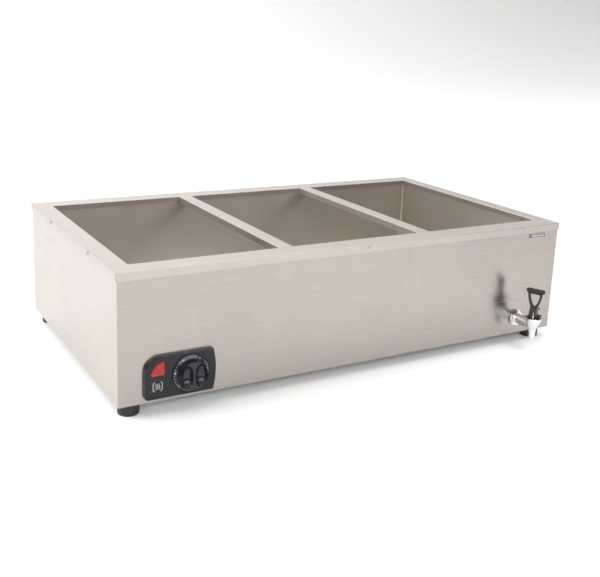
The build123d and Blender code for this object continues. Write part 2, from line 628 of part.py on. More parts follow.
BULB_R = 3.0
BULB_L = 90.0
BULB_Z = TANK_UNDER_Z - BULB_R - 0.2
BULB_Y0 = MID_Y - 165.0
BULB_LEAD_IN = 24.0
CAPILLARY_BEND_R = 6.0
CAPILLARY_BACK_Y = THERMO_BACK_Y + 20.0
capillary_route = [
    (KNOB_X + 6.0, THERMO_BACK_Y, CAPILLARY_HOLE_Z),
    (KNOB_X + 6.0, CAPILLARY_BACK_Y, CAPILLARY_HOLE_Z),
    (CAPILLARY_X, CAPILLARY_BACK_Y, CAPILLARY_HOLE_Z),
    (CAPILLARY_X, BULB_Y0 - BULB_LEAD_IN, CAPILLARY_HOLE_Z),
    (CAPILLARY_X, BULB_Y0 - BULB_LEAD_IN, BULB_Z),
    (CAPILLARY_X, BULB_Y0, BULB_Z),
]
with BuildPart() as thermostat_capillary:
    add(lead(capillary_route, CAPILLARY_BEND_R, CAPILLARY_R))
save(thermostat_capillary, "thermostat_capillary")
with BuildPart() as thermostat_bulb:
    with BuildSketch(facing((CAPILLARY_X, BULB_Y0, BULB_Z), (0, 1, 0))):
        Circle(BULB_R)
    extrude(amount=BULB_L)
    fillet(thermostat_bulb.faces().filter_by(GeomType.PLANE).edges(), 1.5)
save(thermostat_bulb, "thermostat_bulb")

CLIP_T = 0.8
CLIP_L = 8.0
CLIP_GAP = 0.15
with BuildPart() as bulb_clips:
    for clip_y in (BULB_Y0 + 18.0, BULB_Y0 + BULB_L - 18.0):
        with BuildSketch(Plane(origin=(CAPILLARY_X, clip_y, 0), x_dir=(1, 0, 0), z_dir=(0, -1, 0))):
            clip_in = BULB_R + CLIP_GAP
            with Locations((0, (BULB_Z - clip_in - CLIP_T + TANK_UNDER_Z) / 2)):
                Rectangle(2 * (clip_in + CLIP_T), TANK_UNDER_Z - BULB_Z + clip_in + CLIP_T)
            with Locations((0, TANK_UNDER_Z - CLIP_T / 2)):
                Rectangle(2 * (clip_in + CLIP_T + 5.0), CLIP_T)
            with Locations((0, (BULB_Z - clip_in + TANK_UNDER_Z) / 2)):
                Rectangle(2 * clip_in, TANK_UNDER_Z - BULB_Z + clip_in, mode=Mode.SUBTRACT)
        extrude(amount=CLIP_L / 2, both=True)
save(bulb_clips, "bulb_clips")

CUTOUT_R = 9.0
CUTOUT_H = 10.0
CUTOUT_FLANGE_T = 3.0
BLADE_L = 7.0
CUTOUT_PLANE = Plane(origin=(0, CUTOUT_Y, TANK_UNDER_Z), x_dir=(1, 0, 0), z_dir=(0, 0, -1))
with BuildPart() as limit_cutout:
    with BuildSketch(CUTOUT_PLANE):
        Circle(CUTOUT_R)
    extrude(amount=CUTOUT_FLANGE_T)
    with BuildSketch(CUTOUT_PLANE.offset(CUTOUT_FLANGE_T)):
        Circle(CUTOUT_R - 1.5)
    extrude(amount=CUTOUT_H - CUTOUT_FLANGE_T)
    with BuildSketch(CUTOUT_PLANE.offset(CUTOUT_H)):
        with Locations(*[(dx, 0) for dx in CUTOUT_BLADE_DXS]):
            Rectangle(BLADE_T, BLADE_W)
    extrude(amount=BLADE_L)
save(limit_cutout, "limit_cutout")

# ---------------------------------------------------------------- control plate
PLATE_X0 = -482.0
PLATE_X1 = -341.0
PLATE_BOW = 5.5  # how far the right edge bows out between its corners
PLATE_Z0 = FOOT_H + 7.0
PLATE_Z1 = FOOT_H + 89.5
PLATE_T = 9.0
PLATE_BIG_R = 32.0
PLATE_SMALL_R = 8.0
PLATE_TIP_R = 2.5
PLATE_BEVEL = 2.2
PLATE_WALL = 2.5
PLATE_POCKET = 3.0  # hollow back
DIAL_RECESS_R = 37.5
DIAL_RECESS = 3.4
LENS_GAP = 0.2
LENS_FLANGE = 1.4
LENS_FLANGE_T = 1.2
LENS_EDGE = 1.2
PLATE_STUD_L = 6.0  # behind the panel


def plate_outline(inset):
    """The plate's outline: one large corner, two small ones and a bowed right edge."""
    x0, x1 = PLATE_X0 + inset, PLATE_X1 - PLATE_BOW - inset
    z0, z1 = PLATE_Z0 + inset, PLATE_Z1 - inset
    big, small = PLATE_BIG_R - inset, PLATE_SMALL_R - inset
    with BuildSketch(FRONT) as outline:
        with BuildLine():
            Line((x0, z0 + small), (x0, z1 - big))
            RadiusArc((x0, z1 - big), (x0 + big, z1), big)
            Line((x0 + big, z1), (x1, z1))
            ThreePointArc((x1, z1), (x1 + PLATE_BOW, (z0 + z1) / 2), (x1, z0))
            Line((x1, z0), (x0 + small, z0))
            RadiusArc((x0 + small, z0), (x0, z0 + small), small)
        make_face()
        fillet(outline.vertices().group_by(Axis.X)[-1], PLATE_TIP_R)
    return outline.sketch


def lens_outline(grow, height):
    """A quarter disc with its square corner at the lower right."""
    corner_x, corner_z, r = LENS_X + grow, LENS_Z - grow, LENS_R + 2 * grow
    with BuildSketch(FRONT.offset(height)) as outline:
        with BuildLine():
            Line((corner_x, corner_z), (corner_x, corner_z + r))
            RadiusArc((corner_x, corner_z + r), (corner_x - r, corner_z), -r)
            Line((corner_x - r, corner_z), (corner_x, corner_z))
        make_face()
        fillet(outline.vertices(), LENS_EDGE)
    return outline.sketch


plate_face = plate_outline(0.0)
plate_hollow = plate_outline(PLATE_WALL)
with BuildPart() as control_plate:
    extrude(plate_face, amount=PLATE_T)
    chamfer(control_plate.faces().sort_by(Axis.Y)[0].edges(), PLATE_BEVEL)
    extrude(plate_hollow, amount=PLATE_POCKET, mode=Mode.SUBTRACT)
    with BuildSketch(FRONT.offset(PLATE_T)):
        with Locations(KNOB_AXIS):
            Circle(DIAL_RECESS_R)
    extrude(amount=-DIAL_RECESS, mode=Mode.SUBTRACT)
    with BuildSketch(FRONT):
        with Locations(KNOB_AXIS):
            Circle(THERMO_BUSH_R + 1.0)
        with Locations(*[(KNOB_X + s * THERMO_SCREW_DX, KNOB_Z) for s in (-1, 1)]):
            Circle(SCREW_HEAD_R + 0.4)
    extrude(amount=PLATE_T, mode=Mode.SUBTRACT)
    extrude(lens_outline(LENS_GAP, 0.0), amount=PLATE_T, mode=Mode.SUBTRACT)
    with BuildSketch(FRONT.offset(PLATE_POCKET)):
        with Locations(*PLATE_STUD_AT):
            Circle(PLATE_STUD_HOLE_R - 0.2)
    extrude(amount=-(PLATE_POCKET + PANEL_T + PLATE_STUD_L))
save(control_plate, "control_plate")

PUSH_NUT_R = 5.0
PUSH_NUT_T = 0.8
with BuildPart() as push_nuts:
    with BuildSketch(FRONT.offset(-PANEL_T)):
        with Locations(*PLATE_STUD_AT):
            Circle(PUSH_NUT_R)
            Circle(PLATE_STUD_HOLE_R - 0.15, mode=Mode.SUBTRACT)
    extrude(amount=-PUSH_NUT_T)
save(push_nuts, "plate_push_nuts")

LENS_PROUD = 1.6
with BuildPart() as pilot_lens:
    extrude(lens_outline(0.0, PLATE_POCKET - 0.1), amount=PLATE_T + LENS_PROUD - PLATE_POCKET + 0.1)
    chamfer(pilot_lens.faces().sort_by(Axis.Y)[0].edges(), LENS_EDGE)
    extrude(lens_outline(LENS_FLANGE, PLATE_POCKET - 0.1), amount=-LENS_FLANGE_T)
save(pilot_lens, "pilot_lens")

LAMP_BODY_R = 7.3
LAMP_RIM_R = 10.3
LAMP_RIM_T = 2.0
LAMP_BLADE_W = 5.0
LAMP_BACK = 20.0
LAMP_BLADE_DXS = (-3.5, 3.5)
LAMP_BLADE_L = 7.0
LAMP_AT = (LENS_X + LAMP_DX, LENS_Z + LAMP_DZ)
with BuildPart() as pilot_lamp:
    with BuildSketch(FRONT.offset(PLATE_POCKET - LENS_FLANGE_T - 0.2)):
        with Locations(LAMP_AT):
            Circle(LAMP_BODY_R)
    extrude(amount=-(PLATE_POCKET - LENS_FLANGE_T - 0.2 + PANEL_T + LAMP_BACK))
    with BuildSketch(FRONT.offset(-PANEL_T)):
        with Locations(LAMP_AT):
            Circle(LAMP_RIM_R)
    extrude(amount=-LAMP_RIM_T)
    with BuildSketch(FRONT.offset(-PANEL_T - LAMP_BACK)):
        with Locations(*[(LAMP_AT[0] + dx, LAMP_AT[1]) for dx in LAMP_BLADE_DXS]):
            Rectangle(BLADE_T, LAMP_BLADE_W)
    extrude(amount=-LAMP_BLADE_L)
save(pilot_lamp, "pilot_lamp")

# ---------------------------------------------------------------- knob and spindle
DIAL_R = 36.0
DIAL_BACK = PLATE_T - DIAL_RECESS + 0.8  # in front of the panel
DIAL_EDGE = PLATE_T + 0.8
DIAL_TOP_R = 30.0
DIAL_TOP = PLATE_T + 4.0
HUB_R = 29.0
HUB_TOP = PLATE_T + 9.0
FIN_TOP = PLATE_T + 17.0
FIN_R = 29.0
FIN_W = 4.4
DISH_R = 12.0  # half the width of each finger dish
DISH_X = FIN_W / 2 + DISH_R
DISH_FLOOR = PLATE_T + 5.5
DISH_SWING_R = 15.8  # makes each dish oval, about twice as tall as wide
BORE_DEPTH = PLATE_T + 12.0
KNOB_PLANE = Plane(
    origin=(KNOB_X, PANEL_FRONT_Y, KNOB_Z), x_dir=(1, 0, 0), z_dir=(0, 0, 1)
)
with BuildPart() as knob:
    with BuildSketch(KNOB_PLANE):
        with BuildLine():
            Polyline(
                (0, -DIAL_BACK),
                (DIAL_R, -DIAL_BACK),
                (DIAL_R, -DIAL_EDGE),
                (DIAL_TOP_R, -DIAL_TOP),
                (HUB_R, -DIAL_TOP),
                (HUB_R - 1.0, -HUB_TOP),
                (FIN_R - 1.5, -FIN_TOP),
                (0, -FIN_TOP),
                (0, -DIAL_BACK),
            )
        make_face()
    revolve(axis=Axis((KNOB_X, PANEL_FRONT_Y, KNOB_Z), (0, 1, 0)))
    with BuildSketch(Plane.XY.offset(KNOB_Z)):
        with Locations(*[(KNOB_X + way * DISH_X, PANEL_FRONT_Y - DISH_FLOOR - DISH_R) for way in (-1, 1)]):
            Circle(DISH_R)
    dish_axis_y = PANEL_FRONT_Y - DISH_FLOOR - DISH_R - DISH_SWING_R
    revolve(axis=Axis((KNOB_X, dish_axis_y, KNOB_Z), (1, 0, 0)), mode=Mode.SUBTRACT)
    with BuildSketch(FRONT.offset(DIAL_BACK)):
        with Locations(KNOB_AXIS):
            Circle(SPINDLE_R + SPINDLE_CLEAR)
    extrude(amount=BORE_DEPTH - DIAL_BACK, mode=Mode.SUBTRACT)
save(knob, "knob")

with BuildPart() as knob_spindle:
    with BuildSketch(FRONT.offset(-SPINDLE_BACK)):
        with Locations(KNOB_AXIS):
            Circle(SPINDLE_R)
    extrude(amount=SPINDLE_BACK + BORE_DEPTH - 0.5)
    with BuildSketch(FRONT.offset(DIAL_BACK + 1.0)):
        with Locations((KNOB_X, KNOB_Z - SPINDLE_R)):
            Rectangle(2 * SPINDLE_R, 2.0)
    extrude(amount=BORE_DEPTH, mode=Mode.SUBTRACT)
save(knob_spindle, "knob_spindle")

# ---------------------------------------------------------------- blank name plate
BADGE_X = 465.0
BADGE_Z = FOOT_H + 229.0
BADGE_L = 48.0
BADGE_H = 10.0
BADGE_T = 1.2
with BuildPart() as name_plate:
    with BuildSketch(FRONT):
        with Locations((BADGE_X, BADGE_Z)):
            RectangleRounded(BADGE_L, BADGE_H, 2.0)
    extrude(amount=BADGE_T)
    fillet(name_plate.faces().sort_by(Axis.Y)[0].edges(), 0.4)
save(name_plate, "name_plate")

# ---------------------------------------------------------------- drain tap
TAP_Y = PANEL_FRONT_Y - TAP_OUT
BONNET_TOP_Z = 81.4
BONNET_R = 19.0
BONNET_LOW_Z = 76.0
CONE_LOW_Z = 55.5
CONE_LOW_R = 9.4
SPOUT_Z = 34.5
SPOUT_R = 8.0
SPOUT_L = 13.0  # straight end of the spout
SPOUT_BORE_R = 5.8
VALVE_SEAT_Z = 60.0
CHAMBER_LOW_R = 9.3
CHAMBER_TOP_R = 13.0
CHAMBER_TOP_Z = 74.0
SHANK_R = 11.5
THREAD_R = 10.3
SHANK_BORE_R = 5.5
NUT_OUT = 10.0  # front face of the flange nut, in front of the panel
GASKET_T = 1.5
SHANK_IN = 30.0  # thread behind the panel's outer face
TAP_POINT = (TAP_X, TAP_Y, 0)
with BuildPart() as tap_body:
    with BuildSketch(Plane(origin=TAP_POINT, x_dir=(1, 0, 0), z_dir=(0, -1, 0))):
        with BuildLine():
            Polyline(
                (0, SPOUT_Z),
                (SPOUT_R, SPOUT_Z),
                (SPOUT_R, SPOUT_Z + SPOUT_L),
                (CONE_LOW_R, CONE_LOW_Z),
                (BONNET_R - 1.0, BONNET_LOW_Z),
                (0, BONNET_LOW_Z),
                (0, SPOUT_Z),
            )
        make_face()
    revolve(axis=Axis(TAP_POINT, (0, 0, 1)))
    with BuildSketch(facing((TAP_X, TAP_Y, SHANK_Z), (0, 1, 0))):
        Circle(SHANK_R)
    extrude(amount=TAP_OUT - NUT_OUT)
    with BuildSketch(facing((TAP_X, TAP_Y, SHANK_Z), (0, 1, 0))):
        Circle(THREAD_R)
    extrude(amount=TAP_OUT + SHANK_IN)
    with BuildSketch(Plane(origin=TAP_POINT, x_dir=(1, 0, 0), z_dir=(0, -1, 0))):
        with BuildLine():
            Polyline(
                (0, SPOUT_Z),
                (SPOUT_BORE_R, SPOUT_Z),
                (SPOUT_BORE_R, VALVE_SEAT_Z),
                (CHAMBER_LOW_R, VALVE_SEAT_Z),
                (CHAMBER_TOP_R, CHAMBER_TOP_Z),
                (CHAMBER_TOP_R, BONNET_LOW_Z),
                (0, BONNET_LOW_Z),
                (0, SPOUT_Z),
            )
        make_face()
    revolve(axis=Axis(TAP_POINT, (0, 0, 1)), mode=Mode.SUBTRACT)
    with BuildSketch(facing((TAP_X, TAP_Y + CHAMBER_LOW_R - 0.3, SHANK_Z), (0, 1, 0))):
        Circle(SHANK_BORE_R)
    extrude(amount=TAP_OUT + SHANK_IN, mode=Mode.SUBTRACT)
save(tap_body, "tap_body")

FLANGE_NUT_AF = 30.0
FLANGE_NUT_RIM_R = 17.8
FLANGE_NUT_RIM_T = 2.0
with BuildPart() as tap_flange_nut:
    with BuildSketch(FRONT.offset(GASKET_T)):
        with Locations((TAP_X, SHANK_Z)):
            Circle(FLANGE_NUT_RIM_R)
    extrude(amount=FLANGE_NUT_RIM_T)
    with BuildSketch(FRONT.offset(GASKET_T + FLANGE_NUT_RIM_T)):
        with Locations((TAP_X, SHANK_Z)):
            RegularPolygon(radius=FLANGE_NUT_AF / 2, side_count=6, major_radius=False, rotation=30)
    extrude(amount=NUT_OUT - GASKET_T - FLANGE_NUT_RIM_T)
    chamfer(tap_flange_nut.faces().sort_by(Axis.Y)[0].edges(), 0.8)
    with BuildSketch(FRONT.offset(GASKET_T)):
        with Locations((TAP_X, SHANK_Z)):
            Circle(THREAD_R + 0.05)
    extrude(amount=NUT_OUT, mode=Mode.SUBTRACT)
save(tap_flange_nut, "tap_flange_nut")

with BuildPart() as tap_gasket:
    with BuildSketch(FRONT):
        with Locations((TAP_X, SHANK_Z)):
            Circle(FLANGE_NUT_RIM_R - 1.0)
            Circle(THREAD_R + 0.2, mode=Mode.SUBTRACT)
    extrude(amount=GASKET_T)
save(tap_gasket, "tap_gasket")

LOCK_NUT_T = 5.0
LOCK_NUT_AF = 27.0
tap_lock_nut = group(
    hex_nut(LOCK_NUT_AF, LOCK_NUT_T, THREAD_R + 0.05),
    [facing((TAP_X, PANEL_IN_FRONT_Y, SHANK_Z), (0, 1, 0))],
)
save(tap_lock_nut, "tap_lock_nut")

STEM_R = 3.0
STEM_CLEAR = 0.06
PLUG_R = CHAMBER_TOP_R - 0.1
with BuildPart() as tap_bonnet:
    with BuildSketch(Plane.XY.offset(BONNET_LOW_Z)):
        with Locations((TAP_X, TAP_Y)):
            Circle(BONNET_R)
    extrude(amount=BONNET_TOP_Z - BONNET_LOW_Z)
    chamfer(tap_bonnet.edges(), 0.9)
    with BuildSketch(Plane.XY.offset(BONNET_LOW_Z)):
        with Locations((TAP_X, TAP_Y)):
            Circle(PLUG_R)
    extrude(amount=-(BONNET_LOW_Z - CHAMBER_TOP_Z))
    with BuildSketch(Plane.XY.offset(BONNET_TOP_Z)):
        with Locations((TAP_X, TAP_Y)):
            Circle(STEM_R + STEM_CLEAR)
    extrude(amount=-(BONNET_TOP_Z - CHAMBER_TOP_Z), mode=Mode.SUBTRACT)
save(tap_bonnet, "tap_bonnet")

LEVER_CLEAR = 0.3
PIN_H = 8.0  # lever pin above the lever's foot
PIN_Z = BONNET_TOP_Z + LEVER_CLEAR + PIN_H
PIN_R = 1.5
PIN_L = 15.0
CUP_R = 8.0
CUP_Z = VALVE_SEAT_Z + 0.1
CUP_H = 6.0
CUP_FLOOR = 1.6
STEM_TOP_Z = PIN_Z + 4.0
U_DIR = (cos(radians(LEVER_TURN)), sin(radians(LEVER_TURN)), 0)
V_DIR = (-U_DIR[1], U_DIR[0], 0)
PIN_POINT = (TAP_X, TAP_Y, PIN_Z)
# Side view of the lever: sketch x along V, sketch y up, normal along the lever pin
LEVER_SIDE = Plane(origin=PIN_POINT, x_dir=V_DIR, z_dir=U_DIR)
# Face view of the lever: sketch x along the lever pin, sketch y up
LEVER_FACE = Plane(origin=PIN_POINT, x_dir=U_DIR, z_dir=tuple(-v for v in V_DIR))

with BuildPart() as tap_stem:
    with BuildSketch(Plane.XY.offset(CUP_Z + CUP_FLOOR)):
        with Locations((TAP_X, TAP_Y)):
            Circle(STEM_R)
    extrude(amount=STEM_TOP_Z - CUP_Z - CUP_FLOOR)
    chamfer(tap_stem.faces().sort_by(Axis.Z)[-1].edges(), 0.6)
    with BuildSketch(LEVER_SIDE):
        Circle(PIN_R + 0.02)
    extrude(amount=2 * STEM_R, both=True, mode=Mode.SUBTRACT)
save(tap_stem, "tap_stem")

with BuildPart() as tap_valve_cup:
    with BuildSketch(Plane.XY.offset(CUP_Z)):
        with Locations((TAP_X, TAP_Y)):
            Circle(CUP_R)
    extrude(amount=CUP_H)
    chamfer(tap_valve_cup.edges(), 0.8)
    with BuildSketch(Plane.XY.offset(CUP_Z + CUP_FLOOR)):
        with Locations((TAP_X, TAP_Y)):
            Circle(STEM_R + 0.05)
    extrude(amount=CUP_H, mode=Mode.SUBTRACT)
save(tap_valve_cup, "tap_valve_cup")

SPRING_WIRE_R = 0.45
SPRING_R = 5.0
SPRING_TURNS = 2.75
SPRING_Z0 = CUP_Z + CUP_H + SPRING_WIRE_R + 0.1
SPRING_Z1 = CHAMBER_TOP_Z - SPRING_WIRE_R - 0.1
SPRING_RISE = SPRING_Z1 - SPRING_Z0
with BuildPart() as tap_spring:
    with BuildLine():
        coil = Helix(SPRING_RISE / SPRING_TURNS, SPRING_RISE, SPRING_R, center=(TAP_X, TAP_Y, SPRING_Z0))
    with BuildSketch(Plane(origin=coil @ 0, z_dir=coil % 0)):
        Circle(SPRING_WIRE_R)
    sweep(path=coil, is_frenet=True)
save(tap_spring, "tap_spring")

with BuildPart() as tap_lever_pin:
    with BuildSketch(LEVER_SIDE):
        Circle(PIN_R)
    extrude(amount=PIN_L / 2, both=True)
save(tap_lever_pin, "tap_lever_pin")

# The lever's foot is a cam: as the lever tips, the pin rises in step with the angle
LEVER_TRAVEL = 50.0  # degrees
CAM_LIFT = 4.6  # pin rise, millimetres per radian
LEVER_HALF_W = 8.0
LEVER_BLOCK_TOP = 19.0
LEVER_WAIST_Y = 6.0
LEVER_BACK = 8.5
LEVER_TOP_HALF_T = 4.25
HEEL_END = 18.0
HEEL_HALF_W = 13.5
TAB_START = 4.0
TAB_END = 20.0
TAB_T = 4.5
TAB_TIP_T = 2.5
TAB_RISE = 3.0
SLOT_HALF_W = 3.7
SLOT_TOP = 6.5
LOOP_T = 6.5
LOOP_TOP = 47.3
LOOP_HALF_W = 10.5
LOOP_SIDE_HALF_W = 9.3
LOOP_SIDE_Y = 35.0
GRIP_Z = 54.3
FORK_SIDE = ((6.5, 15.0), (12.8, 30.0), (16.2, GRIP_Z))  # outer side of the fork, from the bottom
HEEL_T = 3.0
TAB_Z = 5.6


def cam_point(angle):
    """The point of the cam that touches the bonnet when the lever is tipped by angle."""
    reach = PIN_H + CAM_LIFT * radians(angle)
    s, c = sin(radians(angle)), cos(radians(angle))
    return (-reach * s - CAM_LIFT * c, -reach * c + CAM_LIFT * s)


CAM_STEPS = 5
cam_curve = [cam_point(LEVER_TRAVEL * i / CAM_STEPS) for i in range(CAM_STEPS + 1)]
with BuildPart() as tap_lever:
    with BuildSketch(LEVER_SIDE):
        with BuildLine():
            Spline(*cam_curve)
            Polyline(
                cam_curve[-1],
                (-LEVER_BACK, LEVER_WAIST_Y),
                (-LEVER_TOP_HALF_T, LEVER_BLOCK_TOP),
                (LEVER_TOP_HALF_T, LEVER_BLOCK_TOP),
                (LEVER_BACK - 1.0, LEVER_WAIST_Y),
                (LEVER_BACK, -PIN_H),
                cam_curve[0],
            )
        make_face()
    extrude(amount=LEVER_HALF_W, both=True)
    for way in (-1, 1):
        with BuildSketch(LEVER_SIDE.offset(way * SLOT_HALF_W)):
            with Locations((HEEL_END / 2, -PIN_H + HEEL_T / 2)):
                Rectangle(HEEL_END, HEEL_T)
        extrude(amount=way * (HEEL_HALF_W - SLOT_HALF_W))
    with BuildSketch(LEVER_SIDE):
        with BuildLine():
            Polyline(
                (TAB_START, TAB_Z),
                (TAB_END, TAB_Z + TAB_RISE),
                (TAB_END, TAB_Z + TAB_RISE + TAB_TIP_T),
                (TAB_START, TAB_Z + TAB_T),
                (TAB_START, TAB_Z),
            )
        make_face()
    extrude(amount=LEVER_HALF_W - 1.0, both=True)
    with BuildSketch(LEVER_FACE):
        with BuildLine():
            fork_right = Spline(*FORK_SIDE)
            mirror(fork_right, about=Plane.YZ)
            Line(FORK_SIDE[-1], (-FORK_SIDE[-1][0], FORK_SIDE[-1][1]))
            Line(FORK_SIDE[0], (-FORK_SIDE[0][0], FORK_SIDE[0][1]))
        make_face()
    extrude(amount=LOOP_T / 2, both=True)
    with BuildSketch(LEVER_FACE):
        with BuildLine():
            Line((-LOOP_HALF_W, LOOP_TOP), (LOOP_HALF_W, LOOP_TOP))
            Spline(
                (LOOP_HALF_W, LOOP_TOP),
                (LOOP_SIDE_HALF_W, LOOP_SIDE_Y),
                (0, LEVER_BLOCK_TOP),
                (-LOOP_SIDE_HALF_W, LOOP_SIDE_Y),
                (-LOOP_HALF_W, LOOP_TOP),
            )
        make_face()
    extrude(amount=2 * LOOP_T, both=True, mode=Mode.SUBTRACT)
    with BuildSketch(LEVER_SIDE.offset(-GRIP_L / 2 + GRIP_R)):
        with Locations((0, GRIP_Z)):
            Circle(GRIP_R)
    extrude(amount=GRIP_L - 2 * GRIP_R)
    for way in (-1, 1):
        grip_end = way * (GRIP_L / 2 - GRIP_R)
        with Locations(LEVER_SIDE.offset(grip_end)):
            with Locations((0, GRIP_Z, 0)):
                Sphere(GRIP_R)
    with BuildSketch(LEVER_SIDE.offset(-SLOT_HALF_W)):
        with Locations((0, SLOT_TOP - LEVER_BLOCK_TOP)):
            Rectangle(4 * LEVER_BLOCK_TOP, 2 * LEVER_BLOCK_TOP)
    extrude(amount=2 * SLOT_HALF_W, mode=Mode.SUBTRACT)
    with BuildSketch(LEVER_SIDE):
        Circle(PIN_R + 0.06)
    extrude(amount=2 * LEVER_HALF_W, both=True, mode=Mode.SUBTRACT)
save(tap_lever, "tap_lever")

# ---------------------------------------------------------------- drain fittings
ELBOW_R = 14.0
ELBOW_NECK_R = 10.5
DRAIN_BORE_R = 8.0
ELBOW_FRONT_Y = PANEL_IN_FRONT_Y + LOCK_NUT_T + 0.5
with BuildPart() as drain_elbow:
    with BuildSketch(facing((DRAIN_X, ELBOW_FRONT_Y, SHANK_Z), (0, 1, 0))):
        Circle(ELBOW_R)
    extrude(amount=DRAIN_Y + ELBOW_R - 1.0 - ELBOW_FRONT_Y)
    with BuildSketch(Plane.XY.offset(SHANK_Z)):
        with Locations((DRAIN_X, DRAIN_Y)):
            Circle(ELBOW_R - 1.0)
    extrude(amount=TANK_UNDER_Z - SHANK_Z)
    with BuildSketch(Plane.XY.offset(TANK_UNDER_Z)):
        with Locations((DRAIN_X, DRAIN_Y)):
            Circle(ELBOW_NECK_R)
    extrude(amount=TOP_T + 2.5)
    with BuildSketch(Plane.XY.offset(SHANK_Z)):
        with Locations((DRAIN_X, DRAIN_Y)):
            Circle(DRAIN_BORE_R)
    extrude(amount=TANK_FLOOR_Z + ELBOW_R - SHANK_Z, mode=Mode.SUBTRACT)
    with BuildSketch(facing((DRAIN_X, ELBOW_FRONT_Y, SHANK_Z), (0, 1, 0))):
        Circle(DRAIN_BORE_R)
    extrude(amount=DRAIN_Y - ELBOW_FRONT_Y, mode=Mode.SUBTRACT)
    with BuildSketch(facing((DRAIN_X, ELBOW_FRONT_Y, SHANK_Z), (0, 1, 0))):
        Circle(THREAD_R + 0.05)
    extrude(amount=SHANK_IN - (ELBOW_FRONT_Y - PANEL_FRONT_Y) + 1.0, mode=Mode.SUBTRACT)
save(drain_elbow, "drain_elbow")

with BuildPart() as drain_flange:
    with BuildSketch(Plane.XY.offset(TANK_FLOOR_Z)):
        with Locations((DRAIN_X, DRAIN_Y)):
            Circle(ELBOW_NECK_R + 5.0)
            Circle(ELBOW_NECK_R + 0.1, mode=Mode.SUBTRACT)
    extrude(amount=3.0)
    chamfer(drain_flange.faces().sort_by(Axis.Z)[-1].edges(), 0.8)
save(drain_flange, "drain_flange")

# ---------------------------------------------------------------- cable gland (cord inlet)
GLAND_CORD_R = 4.5
GLAND_BORE_R = 7.0
GLAND_NECK_R = 9.0
GLAND_NECK_L = 8.0
GLAND_SEAL_L = 14.0
GLAND_HEX_T = 6.0
GLAND_CAP_GAP = 0.3
GLAND_CAP_ROUND = 4.5
GLAND_OUT_R = 12.0
GLAND_NUT_AF = 24.0
GLAND_NUT_T = 4.0
GLAND_REACH = 40.0  # more than the gland's whole length
with BuildPart() as gland_body:
    with BuildSketch(BACK):
        with Locations((-GLAND_X, GLAND_Z)):
            RegularPolygon(radius=GLAND_OUT_R, side_count=6, major_radius=False)
    extrude(amount=GLAND_HEX_T)
    with BuildSketch(BACK.offset(GLAND_HEX_T)):
        with Locations((-GLAND_X, GLAND_Z)):
            Circle(GLAND_NECK_R)
    extrude(amount=GLAND_NECK_L)
    with BuildSketch(BACK):
        with Locations((-GLAND_X, GLAND_Z)):
            Circle(GLAND_THREAD_R)
    extrude(amount=-(PANEL_T + 9.0))
    with BuildSketch(BACK.offset(GLAND_HEX_T + GLAND_NECK_L)):
        with Locations((-GLAND_X, GLAND_Z)):
            Circle(GLAND_BORE_R)
    extrude(amount=-GLAND_REACH, mode=Mode.SUBTRACT)
save(gland_body, "gland_body")

with BuildPart() as gland_seal:
    with BuildSketch(BACK.offset(GLAND_HEX_T)):
        with Locations((-GLAND_X, GLAND_Z)):
            Circle(GLAND_BORE_R - 0.1)
            Circle(GLAND_CORD_R, mode=Mode.SUBTRACT)
    extrude(amount=GLAND_SEAL_L)
save(gland_seal, "gland_seal")

with BuildPart() as gland_cap:
    with BuildSketch(BACK.offset(GLAND_HEX_T + GLAND_CAP_GAP)):
        with Locations((-GLAND_X, GLAND_Z)):
            Circle(GLAND_OUT_R)
    extrude(amount=GLAND_OUT - GLAND_HEX_T - GLAND_CAP_GAP)
    fillet(gland_cap.faces().sort_by(Axis.Y)[-1].edges(), GLAND_CAP_ROUND)
    with BuildSketch(BACK.offset(GLAND_HEX_T)):
        with Locations((-GLAND_X, GLAND_Z)):
            Circle(GLAND_NECK_R + 0.1)
    extrude(amount=GLAND_NECK_L + 1.0, mode=Mode.SUBTRACT)
    with BuildSketch(BACK):
        with Locations((-GLAND_X, GLAND_Z)):
            Circle(GLAND_BORE_R)
    extrude(amount=GLAND_REACH, mode=Mode.SUBTRACT)
save(gland_cap, "gland_cap")

gland_lock_nut = group(
    hex_nut(GLAND_NUT_AF, GLAND_NUT_T, GLAND_THREAD_R + 0.05),
    [facing((GLAND_X, PANEL_IN_BACK_Y, GLAND_Z), (0, -1, 0))],
)
save(gland_lock_nut, "gland_lock_nut")

# ---------------------------------------------------------------- terminals, earth and leads
BLOCK_X = -430.0
BLOCK_Y = MID_Y + 200.0
BLOCK_L = 60.0
BLOCK_W = 24.0
BLOCK_H = 16.0
POLE_PITCH = 12.0
POLE_R = 3.2
POLE_DEPTH = 6.0
POLE_XS = [BLOCK_X + (i - 2) * POLE_PITCH for i in range(5)]
POLE_Z = BASE_TOP_Z + 6.0
with BuildPart() as terminal_block:
    with BuildSketch(Plane.XY.offset(BASE_TOP_Z)):
        with Locations((BLOCK_X, BLOCK_Y)):
            Rectangle(BLOCK_L, BLOCK_W)
    extrude(amount=BLOCK_H)
    chamfer(terminal_block.faces().sort_by(Axis.Z)[-1].edges(), 1.0)
    with BuildSketch(Plane.XY.offset(BASE_TOP_Z + BLOCK_H)):
        with Locations(*[(x, BLOCK_Y) for x in POLE_XS]):
            Circle(POLE_R)
    extrude(amount=-POLE_DEPTH, mode=Mode.SUBTRACT)
save(terminal_block, "terminal_block")

